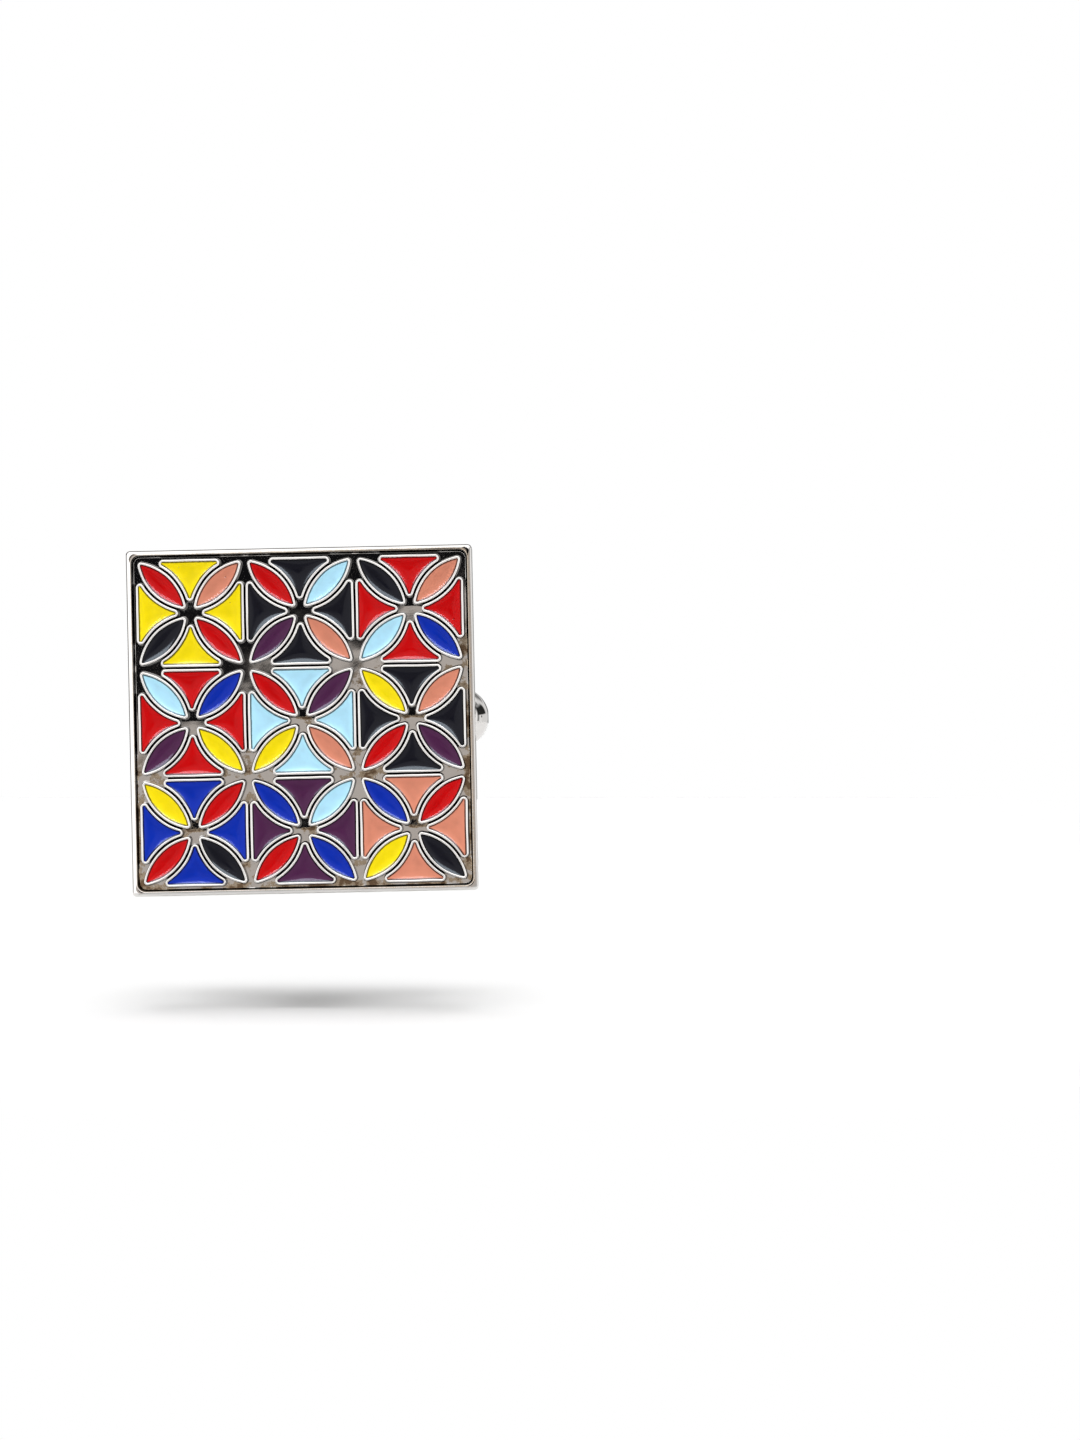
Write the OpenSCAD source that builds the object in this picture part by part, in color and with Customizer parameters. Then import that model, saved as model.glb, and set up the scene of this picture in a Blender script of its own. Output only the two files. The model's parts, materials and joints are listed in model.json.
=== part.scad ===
// Square enamelled cufflink with a swivelling bullet toggle.
// The face looks along -Y and is upright, with +Z up. The post stands along +Y.
// The origin is the middle of the face plate's flat back, where the post starts.

/* [Face plate] */
// Width and height of the face
plate_size = 17; // [14:0.5:20]
// Thickness of the plate from its back to its rim
plate_thickness = 2.2; // [1.8:0.1:3]
// Radius of the plate's four corners, seen from the front
plate_corner_radius = 0.3; // [0.2:0.05:0.6]
// Bevel round the front edge
front_bevel = 0.1; // [0.05:0.01:0.15]
// Bevel round the back edge
back_bevel = 0.3; // [0.1:0.05:0.5]
// Width of the raised rim
rim_width = 0.25; // [0.2:0.01:0.4]
// Depth of the sunken field inside the rim
field_depth = 0.6; // [0.4:0.05:0.9]
// Radius in the field's four corners
field_corner_radius = 0.4; // [0.2:0.05:0.8]

/* [Cells] */
// Tiles in each direction
tile_count = 3; // [2:1:3]
// Gap between the rim and the lines where the outermost tiles end
edge_channel = 0.15; // [0.1:0.01:0.3]
// Width of the metal wall round each cell
wall_width = 0.125; // [0.1:0.005:0.16]
// Width of the sunken channel between neighbouring walls
channel_width = 0.09; // [0.06:0.005:0.12]
// How far the tops of the walls lie below the rim
wall_drop = 0.04; // [0:0.01:0.1]
// How far the enamel lies below the tops of its walls
enamel_drop = 0.06; // [0.02:0.01:0.12]
// Extra metal at the two tips of each petal wall
petal_tip_wall = 0.07; // [0.02:0.01:0.08]

/* [Stirrup] */
// Thickness of the stirrup's foot and arms
strap_thickness = 0.9; // [0.7:0.05:1.2]
// Width of the foot across the post
foot_width = 5.6; // [5:0.1:8]
// Height of the foot past the outside of each arm
foot_margin = 0.6; // [0.4:0.05:1]
// Radius of the foot's corners
foot_corner_radius = 0.8; // [0.4:0.1:1.2]
// Width of an arm where it leaves the foot
arm_root_width = 4.4; // [3.8:0.1:5]
// Radius of the round eye at the end of an arm
eye_radius = 1.7; // [1.5:0.05:2]
// Fillet between the foot and the inside of each arm
arm_fillet = 0.5; // [0.2:0.05:0.8]
// Size of the solder fillet round the foot
solder_size = 0.35; // [0.2:0.05:0.5]

/* [Toggle] */
// Length of the toggle
toggle_length = 18; // [16:0.5:20]
// Diameter of the toggle's barrel
toggle_diameter = 4.6; // [4.4:0.1:5.2]
// Length of the straight barrel between the noses
barrel_length = 10; // [9.5:0.5:11]
// Diameter of the bore along the barrel
barrel_bore = 2.6; // [2.5:0.1:2.8]
// Depth of the flats under the washers
flat_depth = 0.3; // [0.2:0.05:0.4]
// Radius of the round end of a nose
nose_tip_radius = 1.56; // [1.4:0.02:1.7]
// Diameter of the small flat at the very tip
tip_flat_diameter = 0.6; // [0.3:0.1:0.8]
// Bevel on each side of the seam between barrel and nose
seam_bevel = 0.08; // [0.05:0.01:0.12]
// Length of a nose's shank inside the barrel
shank_length = 1.6; // [1.2:0.1:1.8]
// Diameter of the spring's pocket in a nose
pocket_diameter = 2.05; // [2.02:0.01:2.1]
// Depth of the spring's pocket past the end of the barrel
pocket_depth = 1.6; // [1.4:0.1:2]

/* [Pivot] */
// Diameter of the pivot pin
pin_diameter = 1.8; // [1.6:0.1:1.9]
// Diameter of a riveted head
pin_head_diameter = 2.7; // [2.4:0.1:3]
// Height of a riveted head
pin_head_height = 0.4; // [0.3:0.05:0.5]
// Diameter of a washer
washer_diameter = 3.2; // [2.8:0.1:3.3]
// Thickness of a washer
washer_thickness = 0.5; // [0.4:0.05:0.7]

/* [Click] */
// Length of a plunger's head
plunger_length = 1.4; // [1.1:0.1:1.6]
// Diameter of the stub that centres the spring
stub_diameter = 1.1; // [0.9:0.05:1.15]
// Length of the stub
stub_length = 0.6; // [0.4:0.1:0.8]
// Outside diameter of a spring
spring_diameter = 1.9; // [1.85:0.01:1.94]
// Diameter of the spring's wire
spring_wire = 0.3; // [0.24:0.01:0.32]
// Curls in a spring
spring_curls = 5; // [3:1:5]

/* [Fits] */
// Gap on each side of a piece that turns or slides in another
running_clearance = 0.05; // [0.03:0.01:0.08]
// Gap on each side of a piece that is squeezed or pressed into another
press_clearance = 0.01; // [0.005:0.005:0.02]
// Gap between the washer and the edge of its flat
flat_clearance = 0.3; // [0.2:0.05:0.4]
// Gap between the turning toggle and the foot
sweep_clearance = 0.3; // [0.2:0.05:0.6]
// Gap between a lifted plunger and the pin
lift_clearance = 0.02; // [0.01:0.01:0.04]

/* [Hidden] */

$fn = 96;
// How far a cut runs past the surface it opens
overrun = 0.5;

// Enamel of the four darts in each tile, rows from the top and tiles from the left
DART_COLOURS = [
    ["yellow", "black", "red"],
    ["red", "light_blue", "black"],
    ["blue", "purple", "salmon"]
];
// Enamel of the petals in each tile: upper right, upper left, lower left, lower right
PETAL_COLOURS = [
    [
        ["salmon", "red", "black", "red"],
        ["light_blue", "red", "purple", "salmon"],
        ["salmon", "black", "light_blue", "blue"]
    ],
    [
        ["blue", "light_blue", "purple", "yellow"],
        ["purple", "red", "yellow", "salmon"],
        ["salmon", "yellow", "red", "purple"]
    ],
    [
        ["red", "yellow", "red", "black"],
        ["light_blue", "blue", "red", "blue"],
        ["red", "blue", "yellow", "black"]
    ]
];
COLOUR_NAMES = ["red", "yellow", "salmon", "black", "light_blue", "purple", "blue"];
COLOUR_PAINTS = ["crimson", "gold", "lightsalmon", "darkslategray", "lightskyblue", "indigo", "mediumblue"];
METAL = "silver";
SPRING_METAL = "slategray";

// The face
field_size = plate_size - 2 * rim_width;
field_floor = field_depth - plate_thickness;
wall_height = field_depth - wall_drop;
enamel_height = wall_height - enamel_drop;
tile_pitch = (field_size - 2 * edge_channel) / tile_count;

// Each cell's sides are arcs about points on the tile's two axes, just past its edges
arc_out_share = 0.5333;
arc_in_share = 0.0259;
arc_radius_share = 0.515;
arc_out = arc_out_share * tile_pitch;
arc_in = arc_in_share * tile_pitch;
channel_arc_radius = arc_radius_share * tile_pitch;
petal_wall_radius = channel_arc_radius - channel_width / 2;
petal_enamel_radius = petal_wall_radius - wall_width;
dart_wall_radius = channel_arc_radius + channel_width / 2;
dart_enamel_radius = dart_wall_radius + wall_width;

// A petal lies on the tile's diagonal, and its tips are cut blunt
petal_middle = (arc_out - arc_in) / 2;
petal_half_length_share = 0.27;
petal_half_length = petal_half_length_share * tile_pitch;

// A dart stands on the tile's edge and points at its middle, with blunt corners
dart_base = tile_pitch / 2 - channel_width / 2 - wall_width;
dart_apex_share = 0.1315;
dart_apex = dart_apex_share * tile_pitch;
dart_half_base_share = 0.2475;
dart_half_base = dart_half_base_share * tile_pitch;

// The toggle and its pivot
toggle_radius = toggle_diameter / 2;
pin_radius = pin_diameter / 2;
flat_height = toggle_radius - flat_depth;
arm_inner = flat_height + running_clearance + washer_thickness;
arm_outer = arm_inner + strap_thickness;
pivot_y = strap_thickness + toggle_length / 2 + sweep_clearance;
foot_height = 2 * (arm_outer + foot_margin);

// The pin's square middle has its corners just inside the pin's round
pin_square_share = 0.7;
pin_square = pin_square_share * pin_diameter;
pin_square_half_length = barrel_bore / 2;
head_steps = 6;

// The nose is an arc that starts level with the barrel and runs into the round tip
nose_start = barrel_length / 2;
nose_end = toggle_length / 2;
tip_flat_radius = tip_flat_diameter / 2;
tip_centre = nose_end - sqrt(pow(nose_tip_radius, 2) - pow(tip_flat_radius, 2));
nose_arc_radius = (pow(tip_centre - nose_start, 2) / (toggle_radius - nose_tip_radius)
    + nose_tip_radius + toggle_radius) / 2;
nose_arc_centre = toggle_radius - nose_arc_radius;
meeting_angle = atan2(tip_centre - nose_start, -nose_arc_centre);
seam_angle = asin(seam_bevel / nose_arc_radius);
tip_flat_angle = acos(tip_flat_radius / nose_tip_radius);
nose_steps = 10;
tip_steps = 8;

// The click: a plunger on each side of the pin, drawn lifted, so that the toggle is free to turn
plunger_start = pin_radius + lift_clearance;
plunger_end = plunger_start + plunger_length;
plunger_travel = plunger_start - pin_square / 2;
pocket_end = nose_start + pocket_depth;
spring_rings_per_curl = 8;
spring_sides = 6;
spring_coil_radius = (spring_diameter - spring_wire) / 2;
spring_first = plunger_end + spring_wire / 2;
spring_last = pocket_end - spring_wire / 2;
spring_pitch = (spring_last - spring_first) / spring_curls;
spring_points = [
    for (ring = [0 : spring_curls * spring_rings_per_curl])
        let (turn = 360 * ring / spring_rings_per_curl)
        [
            spring_first + spring_pitch * ring / spring_rings_per_curl,
            spring_coil_radius * cos(turn),
            spring_coil_radius * sin(turn)
        ]
];
spring_gap = min([
    for (ring = [spring_rings_per_curl : len(spring_points) - 1])
        norm(spring_points[ring] - spring_points[ring - spring_rings_per_curl]) - spring_wire
]);
echo(str("Least gap between the spring's curls in mm: ", spring_gap));
echo(str("Plunger travel onto the pin's flat in mm: ", plunger_travel));

function paint_of(name) = COLOUR_PAINTS[search([name], COLOUR_NAMES)[0]];

// A shape drawn as seen from the front, made solid from the depth y_back towards the viewer
module forward(y_back, depth) {
    translate([0, y_back, 0])
        rotate([90, 0, 0])
            linear_extrude(depth)
                children();
}

// A shape drawn as (distance from the axis, place along X), turned about the X axis
module turned() {
    rotate([0, 90, 0])
        rotate_extrude()
            children();
}

// A rounded rectangle about the origin, with true round corners
module rounded_rectangle(width, height, radius) {
    square([width, height - 2 * radius], center = true);
    square([width - 2 * radius, height], center = true);
    for (side = [-1, 1], end = [-1, 1])
        translate([side * (width / 2 - radius), end * (height / 2 - radius)])
            circle(radius);
}

// A long bar along X whose two long edges are bevelled at the plate's front and back
module bevelled_bar() {
    half = plate_size / 2;
    rotate([90, 0, 90])
        linear_extrude(plate_size + 2 * overrun, center = true)
            polygon([
                [0, half - back_bevel],
                [-back_bevel, half],
                [front_bevel - plate_thickness, half],
                [-plate_thickness, half - front_bevel],
                [-plate_thickness, front_bevel - half],
                [front_bevel - plate_thickness, -half],
                [-back_bevel, -half],
                [0, back_bevel - half]
            ]);
}

module face_plate() {
    color(METAL)
        difference() {
            intersection() {
                forward(0, plate_thickness)
                    rounded_rectangle(plate_size, plate_size, plate_corner_radius);
                bevelled_bar();
                rotate([0, 90, 0])
                    bevelled_bar();
            }
            forward(field_floor, field_depth + overrun)
                rounded_rectangle(field_size, field_size, field_corner_radius);
        }
}

// Moves what is drawn about a tile's middle to the tile in a row from the top and a column from the left
module at_tile(row, column) {
    middle = (tile_count - 1) / 2;
    translate([(column - middle) * tile_pitch, (middle - row) * tile_pitch])
        children();
}

// The upper right petal of a tile: two arcs, with its tips cut off square to the diagonal's middle
module petal_outline(radius, half_length) {
    intersection() {
        translate([arc_out, -arc_in])
            circle(radius);
        translate([-arc_in, arc_out])
            circle(radius);
        translate([petal_middle, petal_middle])
            circle(half_length);
    }
}

// The upper dart of a tile: a block with an arc cut out of each side
module dart_outline(radius, grow) {
    difference() {
        translate([-dart_half_base - grow, dart_apex - grow])
            square([2 * (dart_half_base + grow), dart_base - dart_apex + 2 * grow]);
        for (side = [-1, 1])
            translate([side * arc_out, -arc_in])
                circle(radius);
    }
}

module petal_walls() {
    tip_reach = petal_half_length + wall_width + petal_tip_wall;
    color(METAL)
        for (row = [0 : tile_count - 1], column = [0 : tile_count - 1], turn = [0 : 3])
            forward(field_floor, wall_height)
                at_tile(row, column)
                    rotate(90 * turn)
                        difference() {
                            petal_outline(petal_wall_radius, tip_reach);
                            petal_outline(petal_enamel_radius, petal_half_length);
                        }
}

module dart_walls() {
    color(METAL)
        for (row = [0 : tile_count - 1], column = [0 : tile_count - 1], turn = [0 : 3])
            forward(field_floor, wall_height)
                at_tile(row, column)
                    rotate(90 * turn)
                        difference() {
                            dart_outline(dart_wall_radius, wall_width);
                            dart_outline(dart_enamel_radius, 0);
                        }
}

module petal_enamel(name) {
    color(paint_of(name))
        for (row = [0 : tile_count - 1], column = [0 : tile_count - 1], turn = [0 : 3])
            if (PETAL_COLOURS[row][column][turn] == name)
                forward(field_floor, enamel_height)
                    at_tile(row, column)
                        rotate(90 * turn)
                            petal_outline(petal_enamel_radius, petal_half_length);
}

module dart_enamel(name) {
    color(paint_of(name))
        for (row = [0 : tile_count - 1], column = [0 : tile_count - 1], turn = [0 : 3])
            if (DART_COLOURS[row][column] == name)
                forward(field_floor, enamel_height)
                    at_tile(row, column)
                        rotate(90 * turn)
                            dart_outline(dart_enamel_radius, 0);
}

// One arm, flat against its inner face, from the foot to its eye
module arm() {
    linear_extrude(strap_thickness) {
        polygon([
            [-arm_root_width / 2, 0],
            [arm_root_width / 2, 0],
            [eye_radius, pivot_y],
            [-eye_radius, pivot_y]
        ]);
        translate([0, pivot_y])
            circle(eye_radius);
    }
}

// The fillet that joins the foot to the inside of an arm
module inner_fillet() {
    translate([0, strap_thickness, arm_inner])
        difference() {
            translate([-eye_radius, 0, -arm_fillet])
                cube([2 * eye_radius, arm_fillet, arm_fillet]);
            translate([0, arm_fillet, -arm_fillet])
                rotate([0, 90, 0])
                    cylinder(2 * eye_radius + 2 * overrun, r = arm_fillet, center = true);
        }
}

module stirrup() {
    color(METAL)
        difference() {
            union() {
                forward(strap_thickness, strap_thickness)
                    rounded_rectangle(foot_width, foot_height, foot_corner_radius);
                for (side = [0, 1])
                    mirror([0, 0, side]) {
                        translate([0, 0, arm_inner])
                            arm();
                        inner_fillet();
                    }
            }
            translate([0, pivot_y, 0])
                cylinder(2 * (arm_outer + overrun), r = pin_radius + press_clearance, center = true);
        }
}

// A bar along X with sloping long sides, as wide as the solder at the plate and as the foot above it
module solder_bar(length, width) {
    rotate([90, 0, 90])
        linear_extrude(length + 2 * solder_size, center = true)
            polygon([
                [0, -width / 2 - solder_size],
                [0, width / 2 + solder_size],
                [solder_size, width / 2],
                [solder_size, -width / 2]
            ]);
}

module solder_seam() {
    color("lightgray")
        difference() {
            intersection() {
                solder_bar(foot_width, foot_height);
                rotate([0, 90, 0])
                    solder_bar(foot_height, foot_width);
            }
            forward(strap_thickness, strap_thickness + overrun)
                rounded_rectangle(foot_width, foot_height, foot_corner_radius);
        }
}

// A low domed head, from its flat seat up
module pin_head() {
    head_radius = pin_head_diameter / 2;
    rotate_extrude()
        polygon([
            [0, 0],
            for (step = [0 : head_steps])
                let (angle = 90 * step / head_steps)
                [head_radius * cos(angle), pin_head_height * sin(angle)]
        ]);
}

module pivot_pin() {
    shank_start = pin_square_half_length;
    color(METAL)
        translate([0, pivot_y, 0]) {
            translate([-pin_square / 2, -pin_square / 2, -shank_start])
                cube([pin_square, pin_square, 2 * shank_start]);
            for (side = [0, 1])
                mirror([0, 0, side]) {
                    translate([0, 0, shank_start])
                        cylinder(arm_outer - shank_start, r = pin_radius);
                    translate([0, 0, arm_outer])
                        pin_head();
                }
        }
}

module pivot_washers() {
    color("gainsboro")
        for (side = [0, 1])
            mirror([0, 0, side])
                translate([0, pivot_y, arm_inner - washer_thickness])
                    difference() {
                        cylinder(washer_thickness, d = washer_diameter);
                        translate([0, 0, -overrun])
                            cylinder(washer_thickness + 2 * overrun, r = pin_radius + running_clearance);
                    }
}

module toggle_barrel() {
    bore_radius = barrel_bore / 2;
    color(METAL)
        translate([0, pivot_y, 0])
            difference() {
                turned()
                    polygon([
                        [bore_radius, -nose_start],
                        [toggle_radius - seam_bevel, -nose_start],
                        [toggle_radius, seam_bevel - nose_start],
                        [toggle_radius, nose_start - seam_bevel],
                        [toggle_radius - seam_bevel, nose_start],
                        [bore_radius, nose_start]
                    ]);
                cylinder(toggle_diameter + 2 * overrun, r = pin_radius + running_clearance, center = true);
                for (side = [0, 1])
                    mirror([0, 0, side])
                        translate([0, 0, flat_height])
                            cylinder(flat_depth + overrun, r = washer_diameter / 2 + flat_clearance);
            }
}

// A nose that points along +X
module toggle_nose() {
    shank_radius = barrel_bore / 2 - press_clearance;
    pocket_radius = pocket_diameter / 2;
    shank_start = nose_start - shank_length;
    color(METAL)
        turned()
            polygon([
                [pocket_radius, shank_start],
                [shank_radius, shank_start],
                [shank_radius, nose_start],
                [toggle_radius - seam_bevel, nose_start],
                for (step = [0 : nose_steps])
                    let (angle = seam_angle + (meeting_angle - seam_angle) * step / nose_steps)
                    [nose_arc_centre + nose_arc_radius * cos(angle), nose_start + nose_arc_radius * sin(angle)],
                for (step = [1 : tip_steps])
                    let (angle = meeting_angle + (tip_flat_angle - meeting_angle) * step / tip_steps)
                    [nose_tip_radius * cos(angle), tip_centre + nose_tip_radius * sin(angle)],
                [0, nose_end],
                [0, pocket_end],
                [pocket_radius, pocket_end]
            ]);
}

module toggle_nose_right() {
    translate([0, pivot_y, 0])
        toggle_nose();
}

module toggle_nose_left() {
    translate([0, pivot_y, 0])
        mirror([1, 0, 0])
            toggle_nose();
}

// A plunger that presses towards -X, with a stub behind it for the spring
module detent_plunger() {
    plunger_radius = barrel_bore / 2 - running_clearance;
    color("darkgray")
        turned()
            polygon([
                [0, plunger_start],
                [plunger_radius, plunger_start],
                [plunger_radius, plunger_end],
                [stub_diameter / 2, plunger_end],
                [stub_diameter / 2, plunger_end + stub_length],
                [0, plunger_end + stub_length]
            ]);
}

module detent_plunger_right() {
    translate([0, pivot_y, 0])
        detent_plunger();
}

module detent_plunger_left() {
    translate([0, pivot_y, 0])
        mirror([1, 0, 0])
            detent_plunger();
}

// The corners of the wire's cross-section at one ring, square to the helix
function wire_ring(ring) =
    let (turn = 360 * ring / spring_rings_per_curl)
    let (run = 2 * PI * spring_coil_radius)
    let (stretch = norm([run, spring_pitch]))
    let (outward = [0, cos(turn), sin(turn)])
    let (along = [spring_pitch, -run * sin(turn), run * cos(turn)] / stretch)
    [
        for (side = [0 : spring_sides - 1])
            let (angle = 360 * side / spring_sides)
            spring_points[ring] + spring_wire / 2 * (cos(angle) * outward + sin(angle) * cross(along, outward))
    ];

module detent_spring() {
    last_ring = len(spring_points) - 1;
    corners = [for (ring = [0 : last_ring]) each wire_ring(ring)];
    skin = [
        for (ring = [0 : last_ring - 1], side = [0 : spring_sides - 1])
            let (here = ring * spring_sides, next = (side + 1) % spring_sides)
            each [
                [here + side, here + next, here + spring_sides + next],
                [here + side, here + spring_sides + next, here + spring_sides + side]
            ]
    ];
    first_cap = [for (side = [spring_sides - 1 : -1 : 0]) side];
    last_cap = [for (side = [0 : spring_sides - 1]) last_ring * spring_sides + side];
    color(SPRING_METAL)
        polyhedron(corners, concat(skin, [first_cap, last_cap]));
}

module detent_spring_right() {
    translate([0, pivot_y, 0])
        detent_spring();
}

module detent_spring_left() {
    translate([0, pivot_y, 0])
        rotate([0, 0, 180])
            detent_spring();
}

face_plate();
petal_walls();
dart_walls();
petal_enamel("red");  // petal_enamel_red
petal_enamel("yellow");  // petal_enamel_yellow
petal_enamel("salmon");  // petal_enamel_salmon
petal_enamel("black");  // petal_enamel_black
petal_enamel("light_blue");  // petal_enamel_light_blue
petal_enamel("purple");  // petal_enamel_purple
petal_enamel("blue");  // petal_enamel_blue
dart_enamel("red");  // dart_enamel_red
dart_enamel("yellow");  // dart_enamel_yellow
dart_enamel("salmon");  // dart_enamel_salmon
dart_enamel("black");  // dart_enamel_black
dart_enamel("light_blue");  // dart_enamel_light_blue
dart_enamel("purple");  // dart_enamel_purple
dart_enamel("blue");  // dart_enamel_blue
stirrup();
solder_seam();
pivot_pin();
pivot_washers();
toggle_barrel();
toggle_nose_left();
toggle_nose_right();
detent_plunger_left();
detent_plunger_right();
detent_spring_left();
detent_spring_right();
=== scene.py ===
"""Looks of a square cufflink with enamelled cells and a swivelling bullet toggle.

The face is drawn lying flat, in millimetres, with x to the right, y up the face and z towards the viewer,
and is then stood up so that it looks along -Y. The toggle is drawn along X about its own pivot.
"""

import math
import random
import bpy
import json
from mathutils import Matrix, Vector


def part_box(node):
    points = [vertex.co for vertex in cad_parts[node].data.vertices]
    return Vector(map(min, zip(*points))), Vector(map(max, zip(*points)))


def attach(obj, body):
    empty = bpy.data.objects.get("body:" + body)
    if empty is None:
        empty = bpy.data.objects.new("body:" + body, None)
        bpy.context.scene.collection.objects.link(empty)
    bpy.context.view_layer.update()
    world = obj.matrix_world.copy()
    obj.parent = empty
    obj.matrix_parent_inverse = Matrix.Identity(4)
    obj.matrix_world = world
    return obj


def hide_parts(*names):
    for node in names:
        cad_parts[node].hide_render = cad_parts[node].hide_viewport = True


bl_info = {
    "name": "Enamelled Cufflink",
    "version": (1, 0, 0),
    "blender": (4, 5, 0),
    "location": "View3D > Sidebar > Cufflink",
    "description": "Models a square cufflink with enamelled petal and dart cells and a bullet toggle",
    "category": "Object",
}

import bmesh
import bpy
from bpy.props import FloatProperty, FloatVectorProperty, IntProperty, PointerProperty
from bpy.types import Operator, Panel, PropertyGroup
from mathutils import Matrix, Vector, noise

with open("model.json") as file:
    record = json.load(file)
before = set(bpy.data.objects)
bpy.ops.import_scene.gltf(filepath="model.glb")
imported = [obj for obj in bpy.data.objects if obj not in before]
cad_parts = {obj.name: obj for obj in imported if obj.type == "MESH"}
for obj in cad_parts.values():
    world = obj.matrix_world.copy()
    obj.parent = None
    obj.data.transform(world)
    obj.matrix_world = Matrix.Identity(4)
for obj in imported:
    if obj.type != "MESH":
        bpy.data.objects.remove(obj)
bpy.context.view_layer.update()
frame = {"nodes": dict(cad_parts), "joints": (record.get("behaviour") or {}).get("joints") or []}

MM = 0.001
ROOT_2 = math.sqrt(2)
GLAZED = "Glazed pieces"
FACE_BODY = "face_and_post"
TOGGLE_BODY = "toggle"
STAND_UP = Matrix.Rotation(math.radians(90), 4, "X")
CAMERA_SENSOR = 36.0
CAMERA_CLIP = 0.01

# Vertices closer than this many millimetres are one
WELD_DISTANCE = 1e-5
FRAME_WELD_DISTANCE = 1e-4
NOSE_WELD_DISTANCE = 2e-3
# Sizes of the rings in which the enamel's top sinks, as shares of the cell
DISH_RING_SHARES = (0.985, 0.965, 0.935, 0.89, 0.83, 0.75, 0.64, 0.5, 0.33, 0.16)
# A painted reflection of the black card fills the face's upper left, past a line of this slope and height,
# and stains lie below it
CORNER_LEAN = 0.4
CORNER_START = 1.6
# Painted shade falls on the sides that face this way
PAINTED_SHADE_FACING = Vector((0.42, -0.9, 0.0))
# Least painted shade on the rim's inner side, and the beige fringe of the painted shade on its crest: its
# middle level and its rise
RIM_PAINTED_SHADE = 0.75
FRINGE_LEVEL = 0.1
FRINGE_RISE = Vector((0.0054, 0.0036, 0.0))
# How far past the walls the floor is stained, where each tile's crease lies and how steeply it dips
STAIN_MARGIN = 0.2
CREASE_HEIGHT = 0.1
CREASE_DIP = 2.6


def node_box(node):
    """Lowest and highest corner of a frame node, in millimetres."""
    low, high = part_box(node)
    return low / MM, high / MM


PLATE_LOW, PLATE_HIGH = node_box("face_plate")
WALL_LOW, WALL_HIGH = node_box("petal_walls")
ENAMEL_HIGH = node_box("petal_enamel_red")[1]
STIRRUP_LOW, STIRRUP_HIGH = node_box("stirrup")
SOLDER_HIGH = node_box("solder_seam")[1]
WASHER_LOW, WASHER_HIGH = node_box("pivot_washers")
BARREL_HIGH = node_box("toggle_barrel")[1]
NOSE_LOW, NOSE_HIGH = node_box("toggle_nose_right")
PLUNGER_LOW, PLUNGER_HIGH = node_box("detent_plunger_right")
SPRING_HIGH = node_box("detent_spring_right")[1]
PIVOT = Vector(next(joint["pos_m"] for joint in frame["joints"] if joint["name"] == "toggle_pivot")) / MM
AT_PIVOT = Matrix.Translation(PIVOT)
SIDES = {"right": AT_PIVOT, "left": AT_PIVOT @ Matrix.Rotation(math.pi, 4, "Z")}

# Enamel of the four darts in each tile, rows from the top and tiles from the left
DART_COLOURS = (
    ("yellow", "black", "red"),
    ("red", "light_blue", "black"),
    ("blue", "purple", "salmon"),
)
# Enamel of the petals in each tile: upper right, upper left, lower left, lower right
PETAL_COLOURS = (
    (
        ("salmon", "red", "black", "red"),
        ("light_blue", "red", "purple", "salmon"),
        ("salmon", "black", "light_blue", "blue"),
    ),
    (
        ("blue", "light_blue", "purple", "yellow"),
        ("purple", "red", "yellow", "salmon"),
        ("salmon", "yellow", "red", "purple"),
    ),
    (
        ("red", "yellow", "red", "black"),
        ("light_blue", "blue", "red", "blue"),
        ("red", "blue", "yellow", "black"),
    ),
)
ENAMEL_NAMES = ("red", "yellow", "salmon", "black", "light_blue", "purple", "blue")


def length(name, description, millimetres):
    """A length property whose default is given in millimetres."""
    return FloatProperty(name=name, description=description, default=millimetres * MM, precision=5,
                         unit="LENGTH")


def angle(name, description, degrees):
    """An angle property whose default is given in degrees."""
    return FloatProperty(name=name, description=description, default=math.radians(degrees), unit="ROTATION")


def share(name, description, default):
    """A share from 0 to 1."""
    return FloatProperty(name=name, description=description, default=default, min=0, max=1,
                         subtype="FACTOR")


def level(name, description, default):
    """A brightness, where 1 is white."""
    return FloatProperty(name=name, description=description, default=default, min=0)


def colour(name, description, default):
    """A linear colour."""
    return FloatVectorProperty(name=name, description=description, default=default, size=3, min=0, max=1,
                               subtype="COLOR")


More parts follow.
